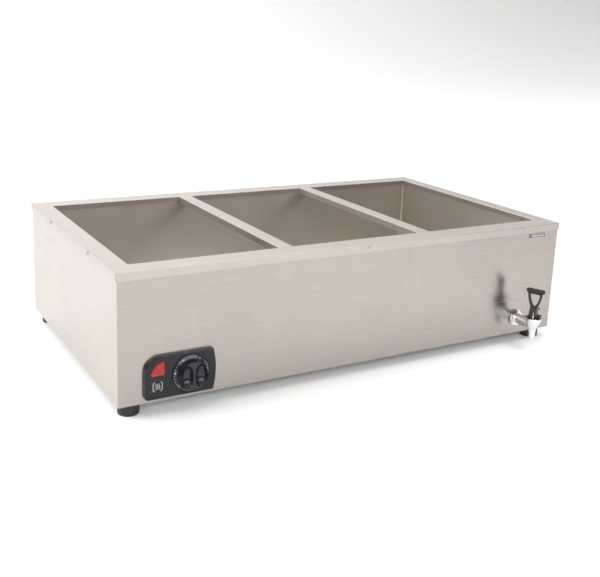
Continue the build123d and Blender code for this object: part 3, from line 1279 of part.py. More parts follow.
POLE_SCREW_R = 3.0
POLE_SCREW_H = 1.6
POLE_SCREW_SUNK = 1.9  # underside of the head, below the block's top
POLE_SCREW_L = 4.0
terminal_screw = pan_screw(POLE_SCREW_R, POLE_SCREW_H, POLE_SCREW_R / 2, POLE_SCREW_L)
terminal_screws = group(
    terminal_screw,
    [facing((x, BLOCK_Y, BASE_TOP_Z + BLOCK_H - POLE_SCREW_SUNK), (0, 0, 1)) for x in POLE_XS],
)
save(terminal_screws, "terminal_screws")

EARTH_L = 20.0
EARTH_NUT_T = 5.0
EARTH_NUT_AF = 10.0
with BuildPart() as earth_stud:
    with BuildSketch(Plane.XY.offset(BASE_TOP_Z)):
        with Locations((EARTH_X, EARTH_Y)):
            Circle(EARTH_R)
    extrude(amount=EARTH_L)
save(earth_stud, "earth_stud")
earth_nuts = group(
    hex_nut(EARTH_NUT_AF, EARTH_NUT_T, EARTH_R + 0.05),
    [facing((EARTH_X, EARTH_Y, BASE_TOP_Z + h), (0, 0, 1)) for h in (0.0, 2 * EARTH_NUT_T)],
)
save(earth_nuts, "earth_nuts")

WIRE_R = 1.3
WIRE_BEND_R = 3.0
WIRE_PITCH = 4.0
WIRE_OUT = 14.0  # straight run behind a terminal blade
BLOCK_LEFT_X = BLOCK_X - BLOCK_L / 2
BLOCK_RIGHT_X = BLOCK_X + BLOCK_L / 2
BLOCK_BACK_Y = BLOCK_Y + BLOCK_W / 2
BLOCK_FRONT_Y = BLOCK_Y - BLOCK_W / 2
LEAD_END_Y = ELEMENT_END_Y + TERMINAL_BEAD_L + TERMINAL_STUD_L
LEAD_RUN_Y = LEAD_END_Y + 8.0
LEAD_LOW_Z = POLE_Z + 8.0
LEAD_PITCH_Z = 5.0
THERMO_LEAD_Y = THERMO_BACK_Y + THERMO_BLADE_L
LAMP_LEAD_Y = PANEL_IN_FRONT_Y + LAMP_BACK + LAMP_BLADE_L
CUTOUT_LEAD_Z = TANK_UNDER_Z - CUTOUT_H - BLADE_L
wire_routes = []
for i, terminal_x in enumerate(TERMINAL_XS):
    pole_x = BLOCK_LEFT_X + WIRE_PITCH * (i + 1)
    run_z = LEAD_LOW_Z + LEAD_PITCH_Z * (len(TERMINAL_XS) - 1 - i)
    wire_routes.append(
        [
            (pole_x, BLOCK_BACK_Y, POLE_Z),
            (pole_x, LEAD_RUN_Y, POLE_Z),
            (pole_x, LEAD_RUN_Y, run_z),
            (terminal_x, LEAD_RUN_Y, run_z),
            (terminal_x, LEAD_RUN_Y, ELEMENT_Z),
            (terminal_x, LEAD_END_Y, ELEMENT_Z),
        ]
    )
for i, dx in enumerate(BLADE_DXS):
    pole_x = BLOCK_X - 14.0 + 2 * WIRE_PITCH * i
    turn_y = THERMO_LEAD_Y + WIRE_OUT + WIRE_PITCH * i
    wire_routes.append(
        [
            (pole_x, BLOCK_FRONT_Y, POLE_Z),
            (pole_x, turn_y, POLE_Z),
            (pole_x, turn_y, THERMO_BLADE_Z),
            (KNOB_X + dx, turn_y, THERMO_BLADE_Z),
            (KNOB_X + dx, THERMO_LEAD_Y, THERMO_BLADE_Z),
        ]
    )
for dx in LAMP_BLADE_DXS:
    lamp_x = LAMP_AT[0] + dx
    wire_routes.append(
        [
            (lamp_x, BLOCK_FRONT_Y, POLE_Z),
            (lamp_x, LAMP_LEAD_Y + WIRE_OUT, POLE_Z),
            (lamp_x, LAMP_LEAD_Y + WIRE_OUT, LAMP_AT[1]),
            (lamp_x, LAMP_LEAD_Y, LAMP_AT[1]),
        ]
    )
for i, dx in enumerate(CUTOUT_BLADE_DXS):
    low_z = POLE_Z + LEAD_PITCH_Z * (1 - i)
    wire_routes.append(
        [
            (BLOCK_RIGHT_X - WIRE_PITCH, BLOCK_FRONT_Y, low_z),
            (BLOCK_RIGHT_X - WIRE_PITCH, CUTOUT_Y, low_z),
            (dx, CUTOUT_Y, low_z),
            (dx, CUTOUT_Y, CUTOUT_LEAD_Z),
        ]
    )
with BuildPart() as wiring:
    for wire_route in wire_routes:
        add(lead(wire_route, WIRE_BEND_R, WIRE_R))
save(wiring, "wiring")
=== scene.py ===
import json
from math import cos, pi, radians, sin

import bmesh
import bpy
from mathutils import Matrix, Vector


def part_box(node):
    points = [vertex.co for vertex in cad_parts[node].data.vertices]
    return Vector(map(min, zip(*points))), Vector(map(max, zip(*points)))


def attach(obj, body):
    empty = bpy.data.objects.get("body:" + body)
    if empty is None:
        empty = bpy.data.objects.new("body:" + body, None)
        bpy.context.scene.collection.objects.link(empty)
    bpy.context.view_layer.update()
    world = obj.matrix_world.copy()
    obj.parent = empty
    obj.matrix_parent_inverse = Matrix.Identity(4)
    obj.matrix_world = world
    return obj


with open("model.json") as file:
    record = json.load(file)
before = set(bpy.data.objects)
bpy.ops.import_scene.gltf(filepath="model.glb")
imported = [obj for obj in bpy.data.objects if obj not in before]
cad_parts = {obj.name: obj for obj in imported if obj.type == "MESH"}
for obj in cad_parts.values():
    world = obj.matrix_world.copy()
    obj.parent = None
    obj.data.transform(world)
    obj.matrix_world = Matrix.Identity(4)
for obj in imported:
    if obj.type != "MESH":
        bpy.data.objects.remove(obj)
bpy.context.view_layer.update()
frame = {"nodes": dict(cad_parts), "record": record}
nodes = frame["nodes"]
scene = bpy.context.scene

# Three-bay countertop steam table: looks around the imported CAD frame.
# Metres; +X right, +Y back, +Z up; the front, with the dial and the tap, faces -Y.

MM = 0.001

# ------------------------------------------------------------------ camera
# The camera's place is given from the middle of the casing, on the casing's bottom edge.
panel_low, panel_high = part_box("front_panel")
top_low, top_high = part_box("top_frame")
MID_Y = (top_low.y + top_high.y) / 2
CASING_Z = panel_low.z
CAMERA_FROM_CASING = Vector((-0.996871, -1.709194, 0.702814))
CAMERA_RIGHT = Vector((0.866, -0.499, 0.040))
CAMERA_DOWN = Vector((-0.083, -0.223, -0.971))
LENS_MM = 52.71
SENSOR_MM = 36.0
SHIFT_Y = -0.1058


def make_camera():
    """A view from the front left and above, given by its place and its two image axes."""
    right = CAMERA_RIGHT.normalized()
    back = right.cross(-CAMERA_DOWN).normalized()
    up = back.cross(right)
    camera = bpy.data.objects.new("camera", bpy.data.cameras.new("camera"))
    camera.data.lens = LENS_MM
    camera.data.sensor_width = SENSOR_MM
    camera.data.sensor_fit = "HORIZONTAL"
    camera.data.shift_y = SHIFT_Y
    camera.data.clip_end = 60.0
    camera.matrix_world = Matrix.Translation(
        CAMERA_FROM_CASING + Vector((0, MID_Y, CASING_Z))
    ) @ Matrix((right, up, back)).transposed().to_4x4()
    scene.collection.objects.link(camera)
    scene.camera = camera


make_camera()


# ------------------------------------------------------------------ material helpers
class Nodes:
    """Short calls for building one material's node tree."""

    def __init__(self, name):
        self.material = bpy.data.materials.new(name)
        self.material.use_nodes = True
        self.tree = self.material.node_tree
        self.tree.nodes.clear()
        self.out = self.tree.nodes.new("ShaderNodeOutputMaterial")
        self.shader = self.tree.nodes.new("ShaderNodeBsdfPrincipled")
        self.link(self.shader.outputs[0], self.out.inputs["Surface"])
        self.coords = self.tree.nodes.new("ShaderNodeTexCoord").outputs["Object"]

    def link(self, a, b):
        self.tree.links.new(a, b)

    def put(self, socket, value):
        """Link an output, or set a plain value, on an input."""
        if isinstance(value, bpy.types.NodeSocket):
            self.link(value, socket)
        else:
            socket.default_value = value

    def set(self, **values):
        """Set the shader's inputs; underscores stand for spaces."""
        for key, value in values.items():
            self.put(self.shader.inputs[key.replace("_", " ")], value)

    def scaled(self, scale, turn=(0, 0, 0)):
        mapping = self.tree.nodes.new("ShaderNodeMapping")
        self.link(self.coords, mapping.inputs["Vector"])
        mapping.inputs["Scale"].default_value = scale
        mapping.inputs["Rotation"].default_value = turn
        return mapping.outputs["Vector"]

    def noise(self, scale=1.0, detail=3.0, rough=0.5, vector=None, warp=0.0):
        node = self.tree.nodes.new("ShaderNodeTexNoise")
        self.link(vector or self.coords, node.inputs["Vector"])
        node.inputs["Scale"].default_value = scale
        node.inputs["Detail"].default_value = detail
        node.inputs["Roughness"].default_value = rough
        node.inputs["Distortion"].default_value = warp
        return node.outputs[0]

    def voronoi(self, scale, vector=None, feature="F1", output="Distance"):
        node = self.tree.nodes.new("ShaderNodeTexVoronoi")
        node.feature = feature
        self.link(vector or self.coords, node.inputs["Vector"])
        node.inputs["Scale"].default_value = scale
        return node.outputs[output]

    def ramp(self, value, low, high, out_low=0.0, out_high=1.0):
        node = self.tree.nodes.new("ShaderNodeMapRange")
        node.interpolation_type = "SMOOTHSTEP"
        self.put(node.inputs["Value"], value)
        node.inputs["From Min"].default_value = low
        node.inputs["From Max"].default_value = high
        node.inputs["To Min"].default_value = out_low
        node.inputs["To Max"].default_value = out_high
        return node.outputs["Result"]

    def math(self, kind, a, b=0.0):
        node = self.tree.nodes.new("ShaderNodeMath")
        node.operation = kind
        self.put(node.inputs[0], a)
        self.put(node.inputs[1], b)
        return node.outputs[0]

    def mix(self, factor, a, b):
        node = self.tree.nodes.new("ShaderNodeMix")
        node.data_type = "RGBA"
        self.put(node.inputs["Factor"], factor)
        for socket, value in ((node.inputs[6], a), (node.inputs[7], b)):
            if isinstance(value, bpy.types.NodeSocket):
                self.link(value, socket)
            else:
                socket.default_value = (*value, 1.0)
        return node.outputs[2]

    def bump(self, height, strength, distance, normal=None):
        node = self.tree.nodes.new("ShaderNodeBump")
        node.inputs["Strength"].default_value = strength
        node.inputs["Distance"].default_value = distance
        self.link(height, node.inputs["Height"])
        if normal is not None:
            self.link(normal, node.inputs["Normal"])
        return node.outputs["Normal"]

    def facing_up(self):
        """One on level faces and zero on upright ones."""
        split = self.tree.nodes.new("ShaderNodeSeparateXYZ")
        self.link(self.tree.nodes.new("ShaderNodeNewGeometry").outputs["Normal"], split.inputs[0])
        return self.ramp(split.outputs["Z"], 0.3, 0.9)

    def across_grain(self):
        """A tangent that lies level on upright faces and along X on level ones."""
        geometry = self.tree.nodes.new("ShaderNodeNewGeometry")
        cross = self.tree.nodes.new("ShaderNodeVectorMath")
        cross.operation = "CROSS_PRODUCT"
        self.link(geometry.outputs["Normal"], cross.inputs[0])
        cross.inputs[1].default_value = (0.0, 0.05, 1.0)
        return cross.outputs[0]


def shade(color, amount):
    return tuple(min(1.0, c * amount) for c in color)


# ------------------------------------------------------------------ materials
def brushed_steel(name, color, rough, grain="X", smudge=0.04, smear=0.6, upright_painted_shade=1.0):
    """Brushed stainless sheet: hairlines along one axis, faint bands, smudges that dull it, and a
    painted shade on upright faces when asked for.
    """
    n = Nodes(name)
    along, across = 9.0, 3600.0
    scale = (along, across, across) if grain == "X" else (across, along, across)
    fine = n.noise(1.0, 4.0, 0.6, n.scaled(scale))
    wide_scale = tuple(s / 60.0 if s == across else s / 9.0 for s in scale)
    bands = n.noise(1.0, 2.0, 0.5, n.scaled(wide_scale))
    blotch = n.noise(5.0, 4.0, 0.5, warp=0.6)
    tone = n.mix(n.ramp(fine, 0.3, 0.7), shade(color, 0.985), shade(color, 1.01))
    tone = n.mix(n.ramp(bands, 0.35, 0.7, 0.0, 0.4), tone, shade(color, 0.965))
    tone = n.mix(n.ramp(blotch, 0.5, 0.8, 0.0, 0.35), tone, shade(color, 0.94))
    # Painted shade: faces that stand upright, such as the top frame's skirt, get a darker copy of the
    # colour than level faces.
    if upright_painted_shade < 1.0:
        tone = n.mix(n.facing_up(), shade(color, upright_painted_shade), tone)
    level = n.ramp(fine, 0.25, 0.75, rough - 0.03, rough + 0.04)
    level = n.math("ADD", level, n.ramp(blotch, 0.45, 0.75, 0.0, smudge))
    n.set(
        Base_Color=tone,
        Metallic=1.0,
        Roughness=level,
        Anisotropic=smear,
        Anisotropic_Rotation=0.25,
        Tangent=n.across_grain(),
        Normal=n.bump(fine, 0.05, 0.00004),
    )
    return n.material


def plain_metal(name, color, rough, grit=400.0, bump=0.1, stain=None):
    """Cast, plated or drawn metal with a fine uneven surface."""
    n = Nodes(name)
    fine = n.noise(grit, 4.0, 0.6)
    cloud = n.noise(grit / 9.0, 3.0, 0.5, warp=0.5)
    tone = n.mix(n.ramp(fine, 0.3, 0.7), shade(color, 0.93), color)
    tone = n.mix(n.ramp(cloud, 0.45, 0.75, 0.0, 0.7), tone, stain or shade(color, 0.85))
    level = n.ramp(cloud, 0.3, 0.7, rough * 0.8, rough * 1.3)
    n.set(Base_Color=tone, Metallic=1.0, Roughness=level, Normal=n.bump(fine, bump, 0.0001))
    return n.material


def galvanised_sheet(name, color):
    """Zinc-coated sheet: flat crystals of slightly different grey."""
    n = Nodes(name)
    cell = n.voronoi(90.0, feature="F1", output="Color")
    split = n.tree.nodes.new("ShaderNodeSeparateColor")
    n.link(cell, split.inputs[0])
    tone = n.mix(split.outputs[0], shade(color, 0.82), shade(color, 1.1))
    dust = n.noise(12.0, 4.0, 0.6)
    tone = n.mix(n.ramp(dust, 0.5, 0.8, 0.0, 0.4), tone, (0.5, 0.48, 0.45))
    level = n.ramp(split.outputs[1], 0.0, 1.0, 0.36, 0.55)
    n.set(Base_Color=tone, Metallic=0.9, Roughness=level, Normal=n.bump(dust, 0.1, 0.0003))
    return n.material


def chrome(name, color, rough):
    """Polished plating with a trace of orange peel and hazy patches."""
    n = Nodes(name)
    peel = n.noise(260.0, 2.0, 0.4)
    haze = n.noise(45.0, 4.0, 0.6, warp=0.3)
    tone = n.mix(n.ramp(haze, 0.45, 0.75), color, shade(color, 0.92))
    n.set(
        Base_Color=tone,
        Metallic=1.0,
        Roughness=n.ramp(haze, 0.35, 0.75, rough, rough + 0.08),
        Normal=n.bump(peel, 0.06, 0.0002),
    )
    return n.material


def plastic(name, color, rough, grain=900.0, bump=0.15, coat=0.0, shine=0.5):
    """Moulded plastic: fine spark-eroded grain, uneven gloss and a little dust."""
    n = Nodes(name)
    fine = n.noise(grain, 3.0, 0.6)
    patch = n.noise(35.0, 4.0, 0.55, warp=0.4)
    tone = n.mix(n.ramp(fine, 0.3, 0.7), shade(color, 0.85), shade(color, 1.2))
    tone = n.mix(n.ramp(patch, 0.55, 0.85, 0.0, 0.04), tone, (0.32, 0.31, 0.3))
    level = n.ramp(patch, 0.35, 0.75, rough * 0.85, rough * 1.25)
    n.set(Base_Color=tone, Roughness=level, Coat_Weight=coat, Coat_Roughness=0.08)
    n.set(Specular_IOR_Level=shine)
    n.set(Normal=n.bump(fine, bump, 0.00012))
    return n.material


def rubber(name, color):
    """Matt rubber with a soft grain and grey scuffs."""
    n = Nodes(name)
    fine = n.noise(700.0, 4.0, 0.65)
    scuff = n.noise(60.0, 5.0, 0.65, warp=0.8)
    tone = n.mix(n.ramp(scuff, 0.55, 0.75, 0.0, 0.5), color, (0.11, 0.105, 0.1))
    level = n.ramp(scuff, 0.3, 0.7, 0.55, 0.8)
    n.set(Base_Color=tone, Roughness=level, Normal=n.bump(fine, 0.25, 0.0002))
    return n.material


def clear_red(name):
    """Clear red moulding, slightly wavy."""
    n = Nodes(name)
    wave = n.noise(240.0, 2.0, 0.5)
    tone = n.mix(n.ramp(wave, 0.3, 0.7), (0.4, 0.001, 0.003), (0.52, 0.003, 0.005))
    n.set(
        Base_Color=tone,
        Roughness=n.ramp(wave, 0.3, 0.7, 0.05, 0.12),
        Transmission_Weight=0.35,
        IOR=1.49,
        Normal=n.bump(wave, 0.15, 0.0003),
    )
    return n.material


STEEL = (0.62, 0.573, 0.527)
MATERIALS = {
    # The casing's pieces are lit and shaded copies of one steel: the front and back panels take
    # painted shade (0.63), the side panels less (0.78), and the top frame and dividers painted light
    # (1.14, 1.12).
    "top_frame": brushed_steel("top_frame_steel", shade(STEEL, 1.14), 0.30, upright_painted_shade=0.66),
    "bar": brushed_steel("divider_steel", shade(STEEL, 1.12), 0.30, grain="Y"),
    "front": brushed_steel("front_panel_steel", shade(STEEL, 0.63), 0.25),
    "side": brushed_steel("side_panel_steel", shade(STEEL, 0.78), 0.27, grain="Y"),
    "tank": brushed_steel("tank_steel", (0.55, 0.518, 0.475), 0.36, smudge=0.07, smear=0.45),
    "screw": plain_metal("screw_steel", (0.5, 0.49, 0.48), 0.3, 900.0),
    "plated": plain_metal("zinc_plated_steel", (0.66, 0.67, 0.66), 0.3, 500.0, stain=(0.6, 0.58, 0.5)),
    "galvanised": galvanised_sheet("galvanised_sheet", (0.6, 0.62, 0.63)),
    "element": plain_metal("heated_tube", (0.3, 0.27, 0.24), 0.42, 300.0, stain=(0.2, 0.16, 0.15)),
    "chrome": chrome("tap_chrome", (0.72, 0.725, 0.73), 0.07),
    "brass": plain_metal("machined_brass", (0.75, 0.56, 0.28), 0.28, 500.0, stain=(0.5, 0.36, 0.2)),
    "copper": plain_metal("copper_tube", (0.75, 0.42, 0.27), 0.3, 500.0, stain=(0.42, 0.24, 0.17)),
    "control_plate": plastic("plate_black", (0.011, 0.010, 0.012), 0.24, 1200.0, 0.05, shine=0.3),
    "knob": plastic("knob_black", (0.010, 0.011, 0.016), 0.16, 1200.0, 0.04, shine=0.45),
    "lever": plastic("lever_black", (0.013, 0.013, 0.014), 0.32, 900.0, 0.15, shine=0.35),
    "nylon": plastic("nylon", (0.7, 0.68, 0.62), 0.45, 700.0, 0.15),
    "ceramic": plastic("ceramic", (0.78, 0.75, 0.68), 0.25, 500.0, 0.1, coat=0.3),
    "rubber": rubber("black_rubber", (0.018, 0.018, 0.019)),
    "sleeve": rubber("wire_sleeve", (0.42, 0.07, 0.04)),
    "lens": clear_red("lens_red"),
    "badge": plastic("badge_dark", (0.012, 0.01, 0.016), 0.2, 900.0, 0.05, shine=0.4),
    "badge_silver": chrome("badge_silver", (0.8, 0.8, 0.8), 0.2),
    "marks": plastic("white_marks", (0.6, 0.6, 0.6), 0.45, 700.0, 0.1),
}

NODE_MATERIAL = {
    "top_frame": "top_frame",
    "divider_left": "bar",
    "divider_right": "bar",
    "divider_seats": "bar",
    "front_panel": "front",
    "back_panel": "front",
    "left_panel": "side",
    "right_panel": "side",
    "tank": "tank",
    "skirt_screws": "screw",
    "name_plate": "badge",
    "control_plate": "control_plate",
    "knob": "knob",
    "pilot_lens": "lens",
    "tap_lever": "lever",
}
SLOT_MATERIAL = {
    "plated_steel": "plated",
    "galvanised": "galvanised",
    "element_steel": "element",
    "chrome": "chrome",
    "brass": "brass",
    "copper": "copper",
    "ceramic": "ceramic",
    "pale_plastic": "nylon",
    "lamp": "nylon",
    "black_rubber": "rubber",
    "black_lever": "lever",
    "wire_sleeve": "sleeve",
}


def dress_cad_nodes():
    """Give every CAD node its material: by name where it is seen closely, else by its slot."""
    slots = {s["node"]: s["material_slot"] for s in frame["record"]["subparts"]}
    for name, node in nodes.items():
        key = NODE_MATERIAL.get(name) or SLOT_MATERIAL[slots[name]]
        node.data.materials.clear()
        node.data.materials.append(MATERIALS[key])


dress_cad_nodes()


# ------------------------------------------------------------------ markings and small trim
knob_low, knob_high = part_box("knob")
plate_low, plate_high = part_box("control_plate")
lens_low, lens_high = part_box("pilot_lens")
badge_low, badge_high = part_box("name_plate")
DIAL = Vector(((knob_low.x + knob_high.x) / 2, panel_low.y, (knob_low.z + knob_high.z) / 2))
DIAL_R = (knob_high.x - knob_low.x) / 2
DIAL_SLOPE = 6.0 * MM  # width of the dial's sloping edge
DIAL_EDGE_OUT = 9.8 * MM  # in front of the panel
DIAL_TOP_OUT = 13.0 * MM
DIAL_TICKS = 31
TICKS_PER_NUMBER = 5
DIAL_START = 30.0  # degrees clockwise from the top
DIAL_SWEEP = 300.0
DIAL_FIRST = 30  # the lowest temperature on the dial
DIAL_STEP = 10
TICK_W = 0.5 * MM
TICK_L = 1.9 * MM
NUMBER_H = 4.0 * MM
PAINT = 0.08 * MM


def add_piece(name, mesh, material, body):
    """Put a mesh in the scene as a piece that rides on a body."""
    piece = bpy.data.objects.new(name, mesh)
    scene.collection.objects.link(piece)
    mesh.materials.clear()
    mesh.materials.append(MATERIALS[material])
    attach(piece, body)
    return piece


def mesh_of(name, b):
    """Turn a finished bmesh into a mesh with outward normals."""
    bmesh.ops.recalc_face_normals(b, faces=b.faces)
    mesh = bpy.data.meshes.new(name)
    b.to_mesh(mesh)
    b.free()
    return mesh


def slab(b, outline, out, thickness):
    """A thin plate of paint or foil: an outline of (x, z) points that stands on the plane y = out."""
    front = [b.verts.new((x, out - thickness, z)) for x, z in outline]
    back = [b.verts.new((x, out, z)) for x, z in outline]
    b.faces.new(front)
    b.faces.new(back[::-1])
    for i in range(len(outline)):
        j = (i + 1) % len(outline)
        b.faces.new((front[i], back[i], back[j], front[j]))


def stroke(b, points, width, out, thickness, closed=False):
    """A line of constant width through (x, z) points, as one strip of short slabs."""
    count = len(points)
    sides = []
    for i, point in enumerate(points):
        before = points[(i - 1) % count] if closed or i > 0 else point
        after = points[(i + 1) % count] if closed or i < count - 1 else point
        run = (Vector(after) - Vector(before)).normalized()
        normal = Vector((-run.y, run.x)) * width / 2
        sides.append((Vector(point) + normal, Vector(point) - normal))
    for i in range(count if closed else count - 1):
        j = (i + 1) % count
        slab(b, (sides[i][0], sides[i][1], sides[j][1], sides[j][0]), out, thickness)


def rounded_box(x0, z0, x1, z1, radius, steps=6):
    """The outline of a rectangle with round corners."""
    corners = ((x1, z1, 0), (x0, z1, 90), (x0, z0, 180), (x1, z0, 270))
    points = []
    for x, z, start in corners:
        cx = x - radius if x == x1 else x + radius
        cz = z - radius if z == z1 else z + radius
        for i in range(steps + 1):
            a = radians(start + 90 * i / steps)
            points.append((cx + radius * cos(a), cz + radius * sin(a)))
    return points


def dial_frame(angle, inward):
    """Where a mark sits on the dial's sloping edge: its place and its three directions."""
    a = radians(angle)
    radial = Vector((sin(a), 0, cos(a)))
    along = Vector((cos(a), 0, -sin(a)))
    slope = (radial * -DIAL_SLOPE + Vector((0, DIAL_EDGE_OUT - DIAL_TOP_OUT, 0))).normalized()
    share = inward / DIAL_SLOPE
    out = DIAL_EDGE_OUT + (DIAL_TOP_OUT - DIAL_EDGE_OUT) * share
    place = DIAL + radial * (DIAL_R - inward) - Vector((0, out, 0))
    return Matrix((along, slope, along.cross(slope))).transposed().to_4x4(), place


def make_dial_marks():
    """Short lines round the dial's sloping edge, with temperatures between them."""
    b = bmesh.new()
    for i in range(DIAL_TICKS):
        angle = DIAL_START + DIAL_SWEEP * i / (DIAL_TICKS - 1)
        if i % TICKS_PER_NUMBER == 0:
            continue
        turn, place = dial_frame(angle, DIAL_SLOPE * 0.38)
        box = bmesh.ops.create_cube(b, size=1.0)["verts"]
        size = Matrix.Diagonal((TICK_W, TICK_L, 2 * PAINT, 1.0))
        bmesh.ops.transform(b, matrix=Matrix.Translation(place) @ turn @ size, verts=box)
    add_piece("dial_ticks", mesh_of("dial_ticks", b), "marks", "knob")
    for i in range(0, DIAL_TICKS, TICKS_PER_NUMBER):
        number = DIAL_FIRST + DIAL_STEP * i // TICKS_PER_NUMBER
        turn, place = dial_frame(DIAL_START + DIAL_SWEEP * i / (DIAL_TICKS - 1), DIAL_SLOPE * 0.78)
        curve = bpy.data.curves.new(f"dial_number_{number}", "FONT")
        curve.body = str(number)
        curve.size = NUMBER_H
        curve.extrude = PAINT
        curve.align_x = "CENTER"
        text = bpy.data.objects.new("text", curve)
        scene.collection.objects.link(text)
        bpy.context.view_layer.update()
        mesh = bpy.data.meshes.new_from_object(text)
        bpy.data.objects.remove(text)
        up = turn.copy()
        up.col[1] = -turn.col[1]
        up.col[2] = -turn.col[2]
        mesh.transform(Matrix.Translation(place) @ up)
        add_piece(f"dial_number_{number}", mesh, "marks", "knob")


def make_plate_icon():
    """A plain sign for a heated pan: an open frame with rising steam, and a line under it."""
    b = bmesh.new()
    y = plate_low.y
    x0, x1 = plate_low.x + 15.5 * MM, plate_low.x + 33.0 * MM
    z0, z1 = plate_low.z + 17.0 * MM, plate_low.z + 34.5 * MM
    line = 0.9 * MM
    middle = (x0 + x1) / 2
    gap = 3.2 * MM
    outline = rounded_box(x0, z0, x1, z1, 3.6 * MM)
    left = [p for p in outline if p[0] < middle - gap]
    right = [p for p in outline if p[0] > middle + gap]
    half = len(right) // 2
    stroke(b, left, line, y, PAINT)
    stroke(b, right[half:] + right[:half], line, y, PAINT)
    for dx in (-3.4 * MM, 0.0, 3.4 * MM):
        wave = []
        for i in range(13):
            share = i / 12
            wave.append((middle + dx + 0.9 * MM * sin(2 * pi * share), z0 + (6.2 + 8.2 * share) * MM))
        stroke(b, wave, line * 0.85, y, PAINT)
    stroke(b, [(middle - 4.8 * MM, z0 + 4.2 * MM), (middle + 4.8 * MM, z0 + 4.2 * MM)], line, y, PAINT)
    add_piece("plate_icon", mesh_of("plate_icon", b), "marks", "casing")


def make_lens_prisms():
    """Rows of small four-sided prisms on the face of the quarter-round lens."""
    b = bmesh.new()
    corner = Vector((lens_high.x, lens_low.y, lens_low.z)) + Vector((-1.4, 0, 1.4)) * MM
    reach = lens_high.x - lens_low.x - 5.2 * MM
    count = 7
    pitch = reach / count
    for i in range(count):
        for k in range(count):
            far = Vector((i + 1, k + 1)).length * pitch
            if far > reach + 0.5 * pitch:
                continue
            x, z = corner.x - i * pitch, corner.z + k * pitch
            ring = [(x, z), (x - pitch, z), (x - pitch, z + pitch), (x, z + pitch)]
            base = [b.verts.new((px, corner.y + PAINT, pz)) for px, pz in ring]
            tip = b.verts.new((x - pitch / 2, corner.y - 0.7 * MM, z + pitch / 2))
            b.faces.new(base)
            for n in range(4):
                b.faces.new((base[n], base[(n + 1) % 4], tip))
    add_piece("lens_prisms", mesh_of("lens_prisms", b), "lens", "casing")


def make_badge_trim():
    """A bright raised border and a row of slanted bars on the blank badge."""
    b = bmesh.new()
    inset = 0.8 * MM
    y = badge_low.y + 0.1 * MM
    ring = rounded_box(
        badge_low.x + inset, badge_low.z + inset, badge_high.x - inset, badge_high.z - inset, 1.5 * MM
    )
    stroke(b, ring, 0.7 * MM, y, 0.3 * MM, closed=True)
    bars = 8
    pitch = (badge_high.x - badge_low.x - 8 * MM) / bars
    for i in range(bars):
        x = badge_low.x + 5.0 * MM + pitch * i
        z0, z1 = badge_low.z + 2.9 * MM, badge_high.z - 2.9 * MM
        lean = 1.4 * MM
        wide = pitch * 0.5
        slab(b, ((x, z0), (x + wide, z0), (x + wide + lean, z1), (x + lean, z1)), y, 0.25 * MM)
    add_piece("badge_trim", mesh_of("badge_trim", b), "badge_silver", "casing")


make_dial_marks()
make_plate_icon()
make_lens_prisms()
make_badge_trim()


# ------------------------------------------------------------------ studio
def make_floor():
    """A seamless pale floor that curves up far behind the unit."""
    mesh = bpy.data.meshes.new("studio_floor")
    half, depth, rise, radius, steps = 9.0, 7.0, 6.0, 2.5, 16
    profile = [(-half, 0.0), (depth - radius, 0.0)]
    for i in range(1, steps + 1):
        a = pi / 2 * i / steps
        profile.append((depth - radius + radius * sin(a), radius - radius * cos(a)))
    profile.append((depth, rise))
    b = bmesh.new()
    rows = [[b.verts.new((x, y, z)) for y, z in profile] for x in (-half, half)]
    for i in range(len(profile) - 1):
        b.faces.new((rows[0][i], rows[1][i], rows[1][i + 1], rows[0][i + 1]))
    b.to_mesh(mesh)
    b.free()
    floor = bpy.data.objects.new("studio_floor", mesh)
    scene.collection.objects.link(floor)
    for face in mesh.polygons:
        face.use_smooth = True
    n = Nodes("studio_paper")
    grain = n.noise(30.0, 3.0)
    n.set(
        Base_Color=n.mix(grain, (0.93, 0.93, 0.93), (0.95, 0.95, 0.95)),
        Roughness=0.9,
        Normal=n.bump(grain, 0.02, 0.0005),
    )
    mesh.materials.append(n.material)


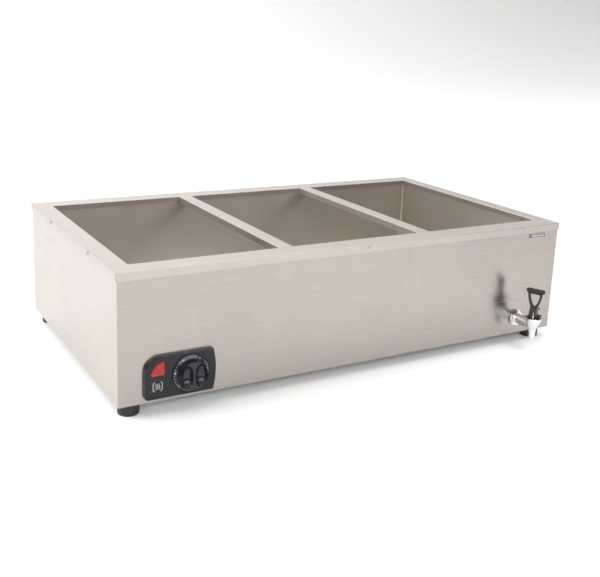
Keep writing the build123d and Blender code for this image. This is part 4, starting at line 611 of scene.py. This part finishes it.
def area_light(name, place, aim, size, power, spread=180):
    data = bpy.data.lights.new(name, "AREA")
    data.shape = "RECTANGLE"
    data.size, data.size_y = size
    data.energy = power
    data.spread = radians(spread)
    light = bpy.data.objects.new(name, data)
    light.location = place
    light.rotation_euler = (Vector(aim) - Vector(place)).to_track_quat("-Z", "Y").to_euler()
    scene.collection.objects.link(light)


# How the surroundings' brightness changes along each axis: from, to, dark end, bright end
WORLD_SIDES = (
    ("X", -1.0, 0.4, 1.3, 0.75),
    ("Y", -1.0, 0.5, 0.2, 1.15),
    ("Z", 0.0, 0.9, 1.0, 1.7),
)


def make_world():
    """A bright tent: brightest above, at the left and at the back, and dark in front."""
    world = bpy.data.worlds.new("studio")
    world.use_nodes = True
    tree = world.node_tree
    coords = tree.nodes.new("ShaderNodeTexCoord")
    split = tree.nodes.new("ShaderNodeSeparateXYZ")
    tree.links.new(coords.outputs["Generated"], split.inputs[0])
    total = None
    for axis, low, high, dark, bright in WORLD_SIDES:
        side = tree.nodes.new("ShaderNodeMapRange")
        side.interpolation_type = "SMOOTHSTEP"
        tree.links.new(split.outputs[axis], side.inputs["Value"])
        side.inputs["From Min"].default_value = low
        side.inputs["From Max"].default_value = high
        side.inputs["To Min"].default_value = dark
        side.inputs["To Max"].default_value = bright
        if total is None:
            total = side.outputs["Result"]
            continue
        product = tree.nodes.new("ShaderNodeMath")
        product.operation = "MULTIPLY"
        tree.links.new(total, product.inputs[0])
        tree.links.new(side.outputs["Result"], product.inputs[1])
        total = product.outputs[0]
    background = tree.nodes["Background"]
    background.inputs["Color"].default_value = (1.0, 0.995, 0.985, 1)
    tree.links.new(total, background.inputs["Strength"])
    scene.world = world
    scene.view_settings.view_transform = "Standard"


def make_studio():
    make_world()
    area_light("key", (-1.7, -2.7, 1.45), (0.2, 0.0, 0.2), (2.0, 1.2), 26.0)
    area_light("front_fill", (0.4, -2.4, 1.3), (0.0, -0.45, 0.0), (2.4, 0.8), 22.0)
    area_light("back_left", (-2.2, 0.4, 1.3), (0.1, 0.0, 0.2), (1.6, 1.0), 26.0)
    area_light("floor_pool", (0.55, -1.3, 2.2), (0.52, -0.66, 0.0), (0.4, 0.4), 1.2, spread=50)
    area_light("backdrop", (0.0, 3.0, 4.5), (0.0, 7.0, 1.5), (6.0, 1.0), 125.0)
    make_floor()


make_studio()
